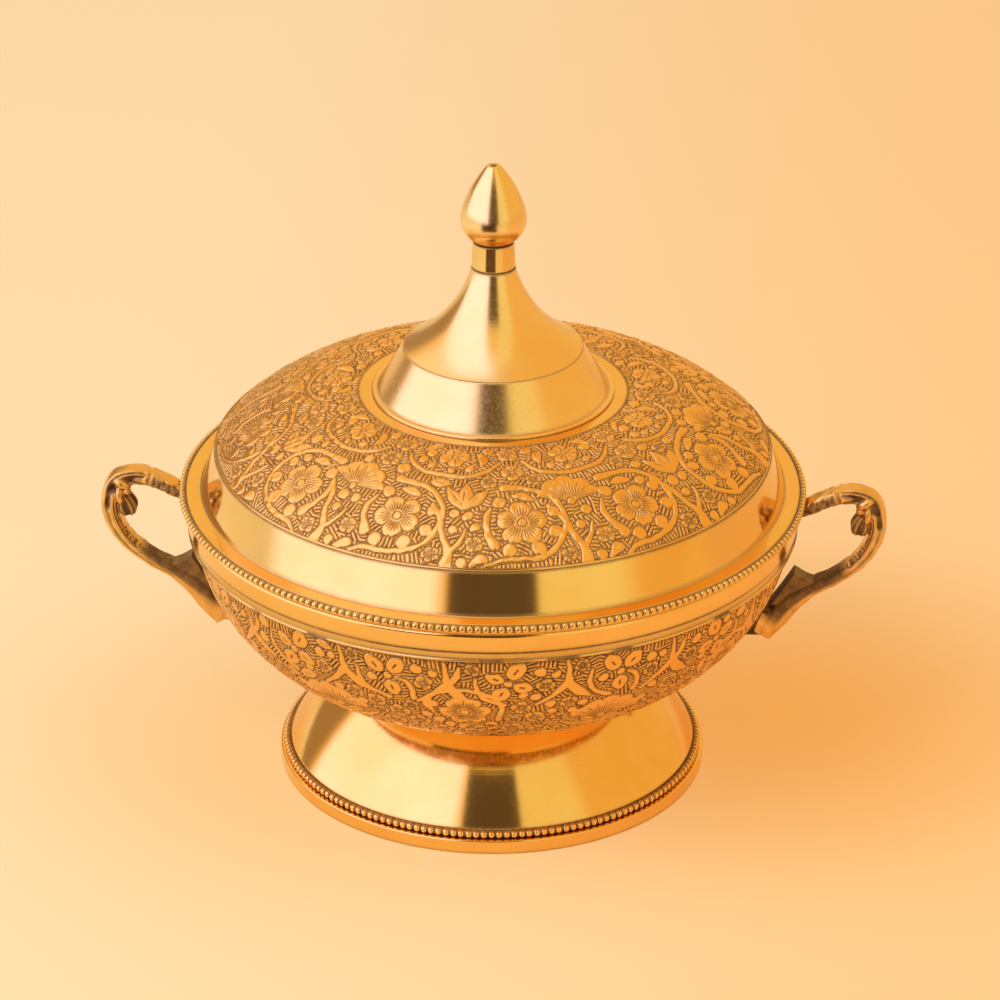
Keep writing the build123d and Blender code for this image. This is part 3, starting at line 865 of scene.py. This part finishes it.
def bowl_stem(kind):
    """Forked stem between two flowers of the bowl's upper row."""
    m = Motif(15.0)
    m.ribbon((-0.6, 8.6, 0.5), (0.2, 4.0, 0.8), (0.6, -1.0, 1.4), (3.6, -5.6, 1.8), (7.6, -8.4, 0.6))
    m.ribbon((-9.0, -10.4, 0.6), (-5.0, -6.6, 0.9), (-1.0, -2.0, 1.3), (1.0, 0.4, 0.9))
    if kind:
        m.ribbon((1.0, -0.8, 0.9), (3.6, 3.0, 1.1), (4.2, 6.6, 0.5))
    m.discs((-3.8, 3.6, 1.5), (-4.6, -10.4, 1.8))
    return m


def bowl_lower(kind):
    """Striated flower or fan on the bowl's belly."""
    m = Motif(20.0)
    if kind == 0:
        m.flower(8.2, 6, 0.2)
        m.ribbon(
            (-10.0, 8.0, 0.4), (-4.0, 11.0, 0.9), (3.0, 11.2, 0.9), (8.6, 8.0, 0.9), (11.2, 2.0, 0.9),
            (10.0, -5.0, 1.0),
        )
        m.ribbon((-9.8, -2.0, 0.5), (-12.0, 2.4, 1.6), (-11.6, 6.6, 0.4))
        m.discs((8.2, -8.4, 1.9), (-8.0, -7.2, 1.9), (0.2, -10.8, 1.8))
    else:
        m.fan(0, -5.0, 1.8, 13.0, math.radians(90), math.radians(78), 5, 19)
        m.ribbon((-13.4, -6.0, 0.6), (-7.0, -9.6, 0.9), (0, -10.6, 1.0), (7.0, -9.6, 0.9), (13.4, -6.0, 0.6))
        m.discs((0, -5.0, 1.4), (-12.0, 2.2, 1.7), (12.0, 2.2, 1.7))
    return m


def bowl_base():
    """Leaf sprays round the bowl's underside."""
    m = Motif(14.0)
    for a in (-60, -20, 20, 60):
        c, s = math.sin(math.radians(a)), math.cos(math.radians(a))
        m.ribbon((1.5 * c, 1.5 * s - 4, 0.4), (5.0 * c, 5.0 * s - 4, 1.6), (9.0 * c, 9.0 * s - 4, 0.4))
        m.cut((3.0 * c, 3.0 * s - 4), (7.0 * c, 7.0 * s - 4))
    m.discs((0, -4.6, 1.5))
    return m


def dome_line(count):
    """Lid's engraved dome, from its outer edge up to the recess."""
    return arc((88.25, 111.15), (42.7, 130.42), DOME_CENTRE, count)


def engrave(surface):
    """Grid pushed down along its normals, and the tarnish of each point."""
    normal = normals(surface.profile)
    if normal[0, 0] < 0:
        normal = -normal
    down, patina_and_shade = relief(surface)
    edge = np.minimum(surface.along, surface.along[-1] - surface.along)
    down = down * smooth_step(edge, 0.0, 0.5)[:, None]
    return surface.points - spread_points(normal, surface.columns) * down[..., None], patina_and_shade


def engraved_shell(name, surface, plain_profile, marks, body, replaced):
    """Closed shell: the engraved rows, then the plain rows back to where they start."""
    cut_points, patina_and_shade = engrave(surface)
    rest = spread_points(plain_profile, surface.columns)
    grid = np.concatenate([cut_points, rest])
    faces = ring_grid(len(grid), surface.columns, True)
    faces = outward(np.concatenate([surface.profile, plain_profile]), faces)
    obj = new_object(name, grid.reshape(-1, 3) * MM, faces, 60.0)
    dark = np.repeat(patina_and_shade_rows(plain_profile, marks)[:, None], surface.columns, 1)
    if body == "lid":
        patina_and_shade = LID_TARNISH * patina_and_shade
    else:
        seam = 0.9 * np.exp(-(surface.along[:, None] / 0.9) ** 2)
        # Beside the handles: painted shadow and dark reflection of them
        patina_and_shade = darkest(patina_and_shade, seam, painted_handle_shade(surface.points))
        blotches = sum(np.sin(turns(surface.columns) * wave + wave * wave) for wave in (5, 9, 14, 23, 31))
        blotches = 0.8 * smooth_step(blotches, 0.8, 1.8) * window(rest[..., 2], 83.4, 84.9, 0.2)
        # Painted shadow and dark reflection of the handles on the plain band too, and blotches of patina
        dark = darkest(dark, painted_handle_shade(rest) * (rest[..., 2] < SEAM + 0.1), blotches)
    set_value(obj, "patina_and_shade", np.concatenate([patina_and_shade, dark]))
    set_value(obj, "polish", np.concatenate([0 * patina_and_shade, 0 * dark + 1.0]))
    dress(obj, body, replaced, engraved)


COLUMNS = 2200
STEP = 0.26
DOME_LENGTH = 50.6

lid = Engraving(dome_line(int(DOME_LENGTH / STEP)), COLUMNS)
flowers_at = [-48.0, -19.2, 9.9, 38.4, 69.6, 100.5, 130.5, 161.0, 190.5, 221.0, 251.5, 281.5]
for k, azimuth in enumerate(flowers_at):
    following = flowers_at[(k + 1) % 12] + (360 if k == 11 else 0)
    lid.place(lid_between(k % 2), (azimuth + following) / 2, 15.6, rng.uniform(-3, 3))
for k in range(9):
    azimuth = -10.4 + (39.2 * k if k < 8 else 320)
    lid.place(lid_upper(k % 2), azimuth, 43.2, rng.uniform(-5, 5), 1.0, k % 3 == 1)
for k, azimuth in enumerate(flowers_at):
    lid.place(lid_motif(k % 2), azimuth, 15.4, rng.uniform(-6, 6), 1.0, k in (0, 4, 5, 9))
fill_gaps(lid)

lid_plateau = [(r, PLATEAU) for r in (42.4, 41.9, 40.5, 39.0, 38.4, 38.0, STUD_BORE)]
lid_inside = [
    (r - LID_WALL * (r - DOME_CENTRE[0]) / DOME_RADIUS, z - LID_WALL * (z - DOME_CENTRE[1]) / DOME_RADIUS)
    for r, z in dome_line(24)[::-1]
]
lid_flange = [(98.0, 96.9)] + [(r, 97.1) for r in (97.8, 97.4, 97.0, 94.2, 93.7, 93.35)] + [(93.05, 97.25)]
lid_band = [(93.0 - 4.4 * t, 97.4 + 13.1 * t) for t in np.linspace(0, 1, 14)]
lid_rest = (
    [(42.45, 130.3)] + lid_plateau + [(STUD_BORE, 129.1), (42.2, 129.1)] + lid_inside
    + [(87.0, 110.4), (92.1, 95.72), (98.0, 95.72)] + lid_flange + lid_band
    + arc((88.72, 110.55), (88.2, 111.2), (88.5, 110.9), 6)
)
engraved_shell("lid_engraved", lid, lid_rest, [
    (88.7, 110.5, 0.35, 0.9), (93.1, 97.1, 0.4, 0.5), (42.45, 130.2, 0.35, 0.45), (38.0, 130.1, 0.4, 0.4),
    (98.0, 97.1, 0.25, 0.7),
], "lid", "lid_shell")

bowl_line = np.array(belly(120))
bowl_along = np.concatenate([[0], np.cumsum(np.hypot(*np.diff(bowl_line, axis=0).T))])
at = np.linspace(0, BOWL_ENGRAVED, int(BOWL_ENGRAVED / STEP))
bowl = Engraving(np.stack([np.interp(at, bowl_along, bowl_line[:, k]) for k in (0, 1)], 1), COLUMNS)
for k in range(18):
    bowl.place(bowl_base(), 20.0 * k + 5, 47.0, rng.uniform(-8, 8))
for k in range(12):
    along = 29.0 if k % 2 else 24.0
    bowl.place(bowl_lower(k % 2), -2.2 + 30 * k, along, rng.uniform(-5, 5), 1.0, k % 3 == 1)
for k in range(16):
    azimuth = {0: 6.2, 1: 28.1, 15: -17.0, 14: -37.5}.get(k, 6.2 + 22.5 * k)
    bowl.place(bowl_stem(k % 2), azimuth + 11.4, 9.6, rng.uniform(-4, 4))
    bowl.place(bowl_upper(k % 2), azimuth, 9.2, rng.uniform(-6, 6), 1.0, k % 5 == 2)
fill_gaps(bowl)

plain_from = int(np.interp(BOWL_ENGRAVED, bowl_along, np.arange(len(bowl_line)))) + 1
inner_side = belly(60) + BOWL_WALL * normals(belly(60))
bowl_rest = (
    [tuple(p) for p in bowl_line[plain_from:]] + [(SCREW_BORE, FOOT_TOP), (SCREW_BORE, FOOT_TOP + BOWL_WALL)]
    + [tuple(p) for p in inner_side[::-1]] + [(94.0, 83.0), (94.0, 91.95), (95.3, 91.95), (95.3, SEAM)]
    + [(BAND_RADIUS - 0.1, SEAM), (BAND_RADIUS, SEAM - 0.1)]
    + [(BAND_RADIUS, z) for z in (86.7, 86.4, 85.9, 85.3, 84.85)]
    + arc((97.12, 84.8), (97.12, 83.8), (97.1, 84.3), 7) + [(96.9, 83.66)]
)
engraved_shell("bowl_engraved", bowl, bowl_rest, [
    (97.1, 87.0, 0.38, 1.0), (97.1, 85.0, 0.35, 0.6), (96.8, 83.5, 0.75, 1.0), (97.1, 85.9, 0.8, 0.22),
], "dish", "bowl_shell")

# Cast handles
HANDLE_START = 98.3
HANDLE_REACH, HANDLE_DROP = 25.0, 48.0
ARM_THICKNESS, ARM_WIDTH = 4.6, 9.0
HORN_WIDTH, PAD_WIDTH = 6.0, 7.2
ARM_STATIONS = [
    (-0.06, 0.080, 0.90, 0.78), (0.12, 0.046, 0.98, 0.84), (0.38, -0.023, 1.00, 0.91),
    (0.67, -0.054, 1.00, 0.98), (0.91, -0.009, 1.13, 1.00), (1.00, 0.137, 1.17, 1.00),
    (0.93, 0.300, 1.13, 1.00), (0.75, 0.440, 1.00, 0.98), (0.47, 0.560, 0.91, 0.96),
    (0.17, 0.648, 1.07, 0.93), (-0.09, 0.757, 1.50, 0.93), (-0.28, 0.882, 1.60, 0.91),
    (-0.43, 1.000, 1.15, 0.78),
]
BUD_STATIONS = [
    (0.90, 0.030, 0.75, 0.67), (0.82, 0.105, 1.00, 0.80), (0.77, 0.180, 1.40, 0.87),
    (0.75, 0.235, 0.95, 0.60),
]
HORN_CORNERS = [(0.24, 0.596), (0.10, 0.567), (-0.05, 0.517), (-0.21, 0.654), (-0.36, 0.771), (0.04, 0.729)]
PAD_CORNERS = [(-0.34, 0.783), (-1.00, 0.783), (-1.25, 0.987), (-0.46, 0.987)]
# Leaf lobes on the arm's side faces: place, half axes and turn in the handle's plane
LEAF_LOBES = [
    ((118.6, 3.7, 94.7), (3.0, 1.9, 1.5), 26.0),
    ((119.6, 3.6, 90.4), (1.5, 1.9, 3.0), -6.0),
    ((117.2, 3.0, 92.0), (1.3, 1.9, 1.3), 0.0),
]
# Channels and dark places of the arm: depth or strength, then where along the arm and where round it
ARM_CHANNELS = (
    (0.9, (26.0, 35.0, 1.0), (0.47, 0.055)),
    (0.4, (35.0, 68.0, 1.5), (0.47, 0.03)),
    (0.5, (31.0, 52.0, 1.5), (0.70, 0.04)),
)
# Painted shade and dark reflections on the arm's side and inner faces, partly patina
ARM_PATINA_AND_SHADE = (
    (0.72, (0.0, 14.0, 1.5), (0.30, 0.95, 0.07)),
    (0.62, (14.0, 30.0, 1.5), (0.60, 1.1, 0.05)),
    (0.85, (54.0, 84.0, 3.0), (0.47, 1.1, 0.04)),
)
BRAZE_GAP = 0.05
SECTION_POWER = 3.2
PRISM_LAYERS = 9


def at_handle(out, down):
    """Place on the handle's middle plane, as radius and height."""
    return HANDLE_START + out * HANDLE_REACH, RIM_TOP - down * HANDLE_DROP


def arm_detail(s, a):
    """Depth cast into the arm, and its patina and painted shade, at length s and at share a of the way
    round.

    The share runs from 0 on the arm's back to 1 on its inner face."""
    cut = 0.10 * np.sin(s * 0.9 + 5 * a) * np.sin(a * 9.0 + s * 0.31)
    lumps = (np.sin(s * 1.9 + 2.3 * np.sin(a * 5.0)) + np.sin(a * 21.0 - s * 0.83)
             + np.sin(s * 3.1 + a * 11.0 + 1.4 * np.sin(s * 0.6))) / 3
    cut += window(s, 2.0, 13.6, 0.9) * window(a, 0.24, 0.84, 0.06) * 0.55 * smooth_step(lumps, -0.15, 0.45)
    cut += 0.42 * hill(s, 14.6, 0.5) * window(a, 0.08, 0.66, 0.06)
    cut -= 0.2 * (hill(s, 13.5, 0.6) + hill(s, 15.7, 0.6)) * window(a, 0.08, 0.66, 0.1)
    round_curl = np.hypot((s - 15.8) / 9.2, (a - 0.53) / 0.25)
    curl = hill(round_curl, 0.58, 0.24) + 0.9 * hill(round_curl, 1.36, 0.17)
    curl -= 0.35 * hill(round_curl, 1.0, 0.12)
    cut += window(s, 16.0, 30.0, 0.6) * (a < 0.80) * curl
    for depth, along, across in ARM_CHANNELS:
        cut += depth * window(s, *along) * hill(a, *across)
    notch = smooth_step(np.sin(s * 2 * math.pi / 2.1 + np.sin(s * 1.3)), 0.1, 0.8)
    cut += window(s, 43.0, 53.0, 1.5) * window(a, 0.74, 0.92, 0.04) * 0.45 * notch
    feather = smooth_step(np.cos((s + 8.0 * a) * 2 * math.pi / 1.35 + np.sin(s * 0.7)), 0.0, 0.9)
    cut += window(s, 52.0, 84.0, 3.0) * window(a, 0.10, 0.44, 0.04) * 0.14 * feather
    mottle = 0.5 + 0.5 * np.sin(s * 0.43 + 2.0 * np.sin(a * 4.0 + s * 0.11))
    # Painted shade and dark reflections on the side and inner faces
    faces_patina_and_shade = [share * window(s, *along) * window(a, *across) for share, along, across in ARM_PATINA_AND_SHADE]
    return cut, darkest(np.clip(cut / 0.55, 0, 1), 0.10 * mottle, 0.9 * hill(s, 0.0, 1.6), *faces_patina_and_shade)


def bud_detail(s, a):
    """Ribs of the leaf bud."""
    ribs = smooth_step(np.cos(a * 8 * math.pi), -0.2, 0.8)
    cut = 0.75 * ribs * window(s, 3.6, 20.0, 0.7) + 0.5 * hill(s, 3.4, 0.5)
    return cut, np.clip(0.5 + cut, 0, 0.95)


def lobe(place, axes, turn, side):
    """Rounded leaf lobe on a side face of the arm: place is its radius, width and height."""
    rows, around = 16, 28
    lat = np.linspace(0, math.pi, rows + 2)[1:-1, None]
    lon = turns(around)
    x = axes[0] * np.sin(lat) * np.cos(lon)
    z = axes[2] * np.sin(lat) * np.sin(lon)
    y = axes[1] * np.cos(lat) + 0 * lon
    c, s = math.cos(math.radians(turn)), math.sin(math.radians(turn))
    grid = np.stack([x * c - z * s, y, x * s + z * c], -1).reshape(-1, 3)
    points = np.concatenate([grid, [[0, axes[1], 0], [0, -axes[1], 0]]]) + place * np.array([1, side, 1])
    return points, tube(rows, around), np.full(len(points), 0.1)


def swept(stations, thickness, width, detail, around=112, step=0.2):
    """Closed tube of rounded oblong sections along the stations; gives points, faces, and patina and painted
    shade.
    """
    def softened(v, power):
        return np.sign(v) * np.abs(v) ** power

    line = through([(*at_handle(o, d), t * thickness / 2, w * width / 2) for o, d, t, w in stations], 16)
    run = np.concatenate([[0], np.cumsum(np.hypot(*np.diff(line[:, :2], axis=0).T))])
    s = np.arange(0, run[-1], step)
    line = np.stack([np.interp(s, run, line[:, k]) for k in range(4)], 1)
    ahead = np.gradient(line[:, :2], axis=0)
    ahead /= np.linalg.norm(ahead, axis=1)[:, None]
    phi = turns(around)
    c, q = softened(np.cos(phi), 2 / SECTION_POWER), softened(np.sin(phi), 2 / SECTION_POWER)
    nc = softened(c, SECTION_POWER - 1) / line[:, 2:3]
    nq = softened(q, SECTION_POWER - 1) / line[:, 3:4]
    length = np.hypot(nc, nq)
    share = np.arccos(np.clip(np.cos(phi), -1, 1)) / math.pi
    cut, patina_and_shade = detail(s[:, None], share[None, :])
    off_plane = c * line[:, 2:3] - cut * nc / length
    y = q * line[:, 3:4] - cut * nq / length
    x = line[:, :1] - ahead[:, 1:2] * off_plane
    z = line[:, 1:2] + ahead[:, :1] * off_plane
    ends = [[line[k, 0], 0, line[k, 1]] for k in (0, -1)]
    points = np.concatenate([np.stack([x, y, z], -1).reshape(-1, 3), ends])
    return points, tube(len(s), around, True), np.concatenate([patina_and_shade.ravel(), [1.0, 1.0]])


def prism(corners, width, patina_and_shade):
    """Flat piece in the handle's middle plane, width across."""
    places = [at_handle(*c) for c in corners]
    p = np.array(subdivided(places, 0.4, round))
    n = len(p)
    outline = np.repeat(p[None], PRISM_LAYERS, 0)
    layers = np.repeat(np.linspace(-width / 2, width / 2, PRISM_LAYERS)[:, None], n, 1)
    grid = np.stack([outline[..., 0], layers, outline[..., 1]], -1)
    middle = p.mean(axis=0)
    inner = np.vstack([p * 0.55 + middle * 0.45, middle])
    points = np.concatenate([grid.reshape(-1, 3)] + [
        np.insert(inner, 1, y, axis=1) for y in (-width / 2, width / 2)
    ])
    ring = np.arange(n)
    following = (ring + 1) % n
    top = PRISM_LAYERS * n
    faces = [join_faces(ring_grid(PRISM_LAYERS, n, False))]
    for way, edge, start in ((-1, 0, top), (1, top - n, top + n + 1)):
        band = np.stack([edge + ring, edge + following, start + following, start + ring], 1)
        tip = np.stack([start + ring, start + following, np.full(n, start + n)], 1)
        faces.append(join_faces(band, tip)[:, ::way])
    return points, outward(places, np.concatenate(faces)[:, ::-1]), np.full(len(points), patina_and_shade)


def bowl_envelope(height):
    """Outer radius of the bowl and its rim at a height."""
    side = np.array(belly(60))[::-1]
    z = np.concatenate([side[:, 1], [83.7, 84.3, 84.9, SEAM, SEAM + 0.05, RIM_TOP]])
    r = np.concatenate([side[:, 0], [97.0, 97.6, 97.1, 97.1, 97.8, 98.3]])
    return np.interp(height, z, r) + BRAZE_GAP


def fused(groups, voxel):
    """One mesh from overlapping closed ones: points in millimetres, faces, patina and painted shade."""
    points = np.concatenate([g[0] for g in groups])
    starts = np.cumsum([0] + [len(g[0]) for g in groups])
    faces = np.concatenate([g[1] + start for g, start in zip(groups, starts)])
    patina_and_shade = np.concatenate([g[2] for g in groups])
    raw = new_object("raw_casting", points * MM, faces, 0)
    fuse = raw.modifiers.new("fuse", "REMESH")
    fuse.mode = "VOXEL"
    fuse.voxel_size = voxel * MM
    ease = raw.modifiers.new("ease", "SMOOTH")
    ease.factor = 0.4
    ease.iterations = 2
    solid = raw.evaluated_get(bpy.context.evaluated_depsgraph_get()).to_mesh()
    out = np.empty(len(solid.vertices) * 3)
    solid.vertices.foreach_get("co", out)
    out = out.reshape(-1, 3) / MM
    loops = np.empty(len(solid.loops), int)
    solid.loops.foreach_get("vertex_index", loops)
    quads = loops.reshape(-1, 4)
    tree = KDTree(len(points))
    for i, point in enumerate(points):
        tree.insert(point, i)
    tree.balance()
    value = np.array([np.mean([patina_and_shade[i] for _, i, _ in tree.find_n(point, 3)]) for point in out])
    bpy.data.objects.remove(raw)
    return out, quads, value


casting, quads, patina_and_shade = fused([
    swept(ARM_STATIONS, ARM_THICKNESS, ARM_WIDTH, arm_detail),
    swept(BUD_STATIONS, ARM_THICKNESS, ARM_WIDTH, bud_detail, 72),
    # The horn is dark brown, patina and painted shade; the pad is painted nearly black as the shade on its
    # side face
    prism(HORN_CORNERS, HORN_WIDTH, 0.85),
    prism(PAD_CORNERS, PAD_WIDTH, 0.97),
] + [lobe(*leaf, side) for leaf in LEAF_LOBES for side in (-1, 1)], 0.22)
envelope = bowl_envelope(casting[:, 2])
inside = np.hypot(casting[:, 0], casting[:, 1]) < envelope
casting[inside, 0] = np.sqrt(envelope[inside] ** 2 - casting[inside, 1] ** 2)
# Dark where the casting meets the bowl: the joint itself, and painted shade in the crevice
near_bowl = np.hypot(casting[:, 0], casting[:, 1]) - envelope
patina_and_shade = np.clip(np.maximum(patina_and_shade, 0.95 * np.exp(-(near_bowl / 0.8) ** 2)), 0, 1)
# The left handle's tail is brighter on its outer half
outer_half = 0.6 * (casting[:, 0] - 110.0) - 0.8 * (casting[:, 2] - 67.0)
on_tail = smooth_step(casting[:, 0], 89.0, 92.0) * (casting[:, 2] < 70.0)
lightened_tail = 0.65 * smooth_step(outer_half, -1.8, 0.4) * on_tail
for name, side, replaced in (("handle_right", 1, "right_handle"), ("handle_left", -1, "left_handle")):
    handle = new_object(name, casting * (side, 1, 1) * MM, quads if side > 0 else quads[:, ::-1], 0)
    set_value(handle, "patina_and_shade", patina_and_shade if side > 0 else patina_and_shade * (1 - lightened_tail))
    dress(handle, "dish", replaced, cast)

# CAD pieces that stay as they are
for name in ("foot_screw", "foot_washer", "foot_nut", "finial_stud", "stud_washer", "stud_nut"):
    coat(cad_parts[name], plain)


# Floor and world
# Painted pools of the brass's warm light and of its shadow on the floor: place, reach, strength and colour
FLOOR_POOLS = (
    (-0.05, 0.0, 0.17, 0.75, (255, 200, 128)),
    (0.09, 0.03, 0.17, 0.85, (255, 174, 76)),
)
FLOOR_GLOW = 0.72
# Painted reflections: strips of the far floor that only the metal shows, light bands and a dark band of
# shade: direction, half width and colour
FLOOR_STRIPS = (
    (-84.0, 48.0, (255, 246, 226)),
    (-12.0, 26.0, (74, 50, 30)),
    (34.0, 18.0, (255, 232, 190)),
)


def floor_material():
    """Pale paper with painted pools of the brass's warm light and shadow."""
    material = bpy.data.materials.new("floor_paper")
    g = Graph(material)
    place = g.node("TexCoord").outputs["Object"]
    split = g.node("SeparateXYZ", {0: place})
    # Painted light: paler on the left and warmer on the right, as the light falls
    across = g.ramp(split.outputs[0], -0.17, 0.19, smooth=True)
    colour = g.mix(across, linear(254, 222, 174), linear(255, 206, 144))
    for x, y, reach, share, tone in FLOOR_POOLS:
        off = g.node("VectorMath", {0: place, 1: (x, y, 0.0)}, operation="DISTANCE").outputs["Value"]
        colour = g.mix(g.ramp(off, 0.0, reach, share, 0.0, smooth=True), colour, linear(*tone))
    path = g.node("LightPath")
    far = g.node("VectorMath", {0: place}, operation="LENGTH").outputs["Value"]
    beyond = g.math("MULTIPLY", g.ramp(far, 0.325, 0.34), path.outputs["Is Glossy Ray"])
    turn = g.azimuth(split)
    # Painted reflections of light bands and a dark band of shade
    for middle, half, tone in FLOOR_STRIPS:
        side = g.math("ABSOLUTE", g.math("SUBTRACT", turn, middle))
        strip = g.ramp(side, half - 2.0, half + 2.0, 1.0, 0.0)
        colour = g.mix(g.math("MULTIPLY", beyond, strip), colour, linear(*tone))
    diffuse = g.node("BsdfDiffuse", {"Color": colour})
    glow = g.node("Emission", {"Color": colour, "Strength": 1.0})
    seen = g.math("MAXIMUM", path.outputs["Is Camera Ray"], path.outputs["Is Glossy Ray"])
    share = g.math("MULTIPLY", seen, FLOOR_GLOW)
    mixed = g.node("MixShader", {0: share, 1: diffuse.outputs[0], 2: glow.outputs[0]})
    g.node("OutputMaterial", {"Surface": mixed.outputs[0]})
    return material


floor = new_object("floor", [(-6, -6, 0), (6, -6, 0), (6, 6, 0), (-6, 6, 0)], [(0, 1, 2, 3)])
coat(floor, floor_material())

ROOM = (1.0, 0.68, 0.25, 1.0)
# Light and dark parts of the room: azimuth, elevation, half width, half height and soft edge, all in
# degrees, and colour
ROOM_PATCHES = (
    (0.0, 90.0, 200.0, 20.0, 6.0, (0.92, 0.84, 0.74, 1.0)),
    (110.0, 30.0, 60.0, 60.0, 14.0, (0.95, 0.60, 0.20, 1.0)),
    (38.0, 35.0, 20.0, 60.0, 6.0, (1.0, 0.86, 0.46, 1.0)),
    (-64.0, 40.0, 47.0, 48.0, 4.0, (1.5, 1.42, 2.1, 1.0)),
    (-132.0, 52.0, 26.0, 20.0, 8.0, (1.2, 0.98, 0.85, 1.0)),
    (-139.0, 6.0, 25.0, 18.0, 4.0, (0.42, 0.27, 0.15, 1.0)),
    (3.1, 18.0, 17.0, 29.0, 1.2, (0.12, 0.085, 0.058, 1.0)),
)


def room_patch(g, azimuth, elevation, angle, height, wide, high, soft):
    """1 inside a soft-edged patch of the room."""
    off = g.math("SUBTRACT", azimuth, angle)
    off = g.node("Math", {0: off, 1: 180.0, 2: -180.0}, operation="WRAP").outputs[0]
    inside = []
    for distance, half in ((off, wide), (g.math("SUBTRACT", elevation, height), high)):
        inside.append(g.ramp(g.math("ABSOLUTE", distance), half - soft, half + soft, 1.0, 0.0, smooth=True))
    return g.math("MULTIPLY", *inside)


world = bpy.data.worlds.new("studio")
bpy.context.scene.world = world
g = Graph(world)
split = g.node("SeparateXYZ", {0: g.node("TexCoord").outputs["Generated"]})
azimuth = g.azimuth(split)
elevation = g.math("DEGREES", g.math("ARCSINE", split.outputs[2]))
colour = ROOM
for *place, tone in ROOM_PATCHES:
    colour = g.mix(room_patch(g, azimuth, elevation, *place), colour, tone)
path = g.node("LightPath")
shown = g.math("MAXIMUM", path.outputs["Is Glossy Ray"], path.outputs["Is Camera Ray"])
colour = g.mix(shown, linear(255, 236, 214), colour)
sky = g.node("Background", {"Color": colour, "Strength": g.ramp(shown, 0.0, 1.0, 0.55, 1.0)})
g.node("OutputWorld", {"Surface": sky.outputs[0]})


# Lamps and camera
def looking(azimuth, elevation, distance, aim, roll=0.0):
    """Pose of a lamp or camera that looks at a place from a direction in degrees, 0 towards -Y."""
    turn, lean, twist = (math.radians(v) for v in (azimuth, 90.0 - elevation, roll))
    return (Matrix.Rotation(turn, 4, "Z") @ Matrix.Translation(aim) @ Matrix.Rotation(lean, 4, "X")
            @ Matrix.Translation((0.0, 0.0, distance)) @ Matrix.Rotation(twist, 4, "Z"))


def lamp(name, azimuth, elevation, distance, size, power, colour):
    """Soft square lamp that faces the dish."""
    data = bpy.data.lights.new(name, "AREA")
    data.shape = "RECTANGLE"
    data.size, data.size_y = size
    data.energy = power
    data.color = colour
    obj = bpy.data.objects.new(name, data)
    bpy.context.scene.collection.objects.link(obj)
    obj.matrix_world = looking(azimuth, elevation, distance, (0.0, 0.0, 0.08))
    obj.visible_camera = False
    obj.visible_glossy = False


lamp("key", -48, 48, 1.3, (0.9, 0.7), 13.0, (1.0, 0.95, 0.86))
lamp("fill", 55, 55, 1.5, (1.0, 0.8), 5.0, (1.0, 0.86, 0.66))

SENSOR = 36.0
FOCAL_SHARE = 4.98372
camera_data = bpy.data.cameras.new("camera")
camera_data.sensor_width = SENSOR
camera_data.lens = FOCAL_SHARE * SENSOR
camera_data.clip_start, camera_data.clip_end = 0.05, 20.0
camera = bpy.data.objects.new("camera", camera_data)
bpy.context.scene.collection.objects.link(camera)
camera.matrix_world = looking(3.1, 26.3502, 1.59487, (0.0023, 0.0, 0.090764), 0.2099)
bpy.context.scene.camera = camera
bpy.context.scene.view_settings.view_transform = "Standard"
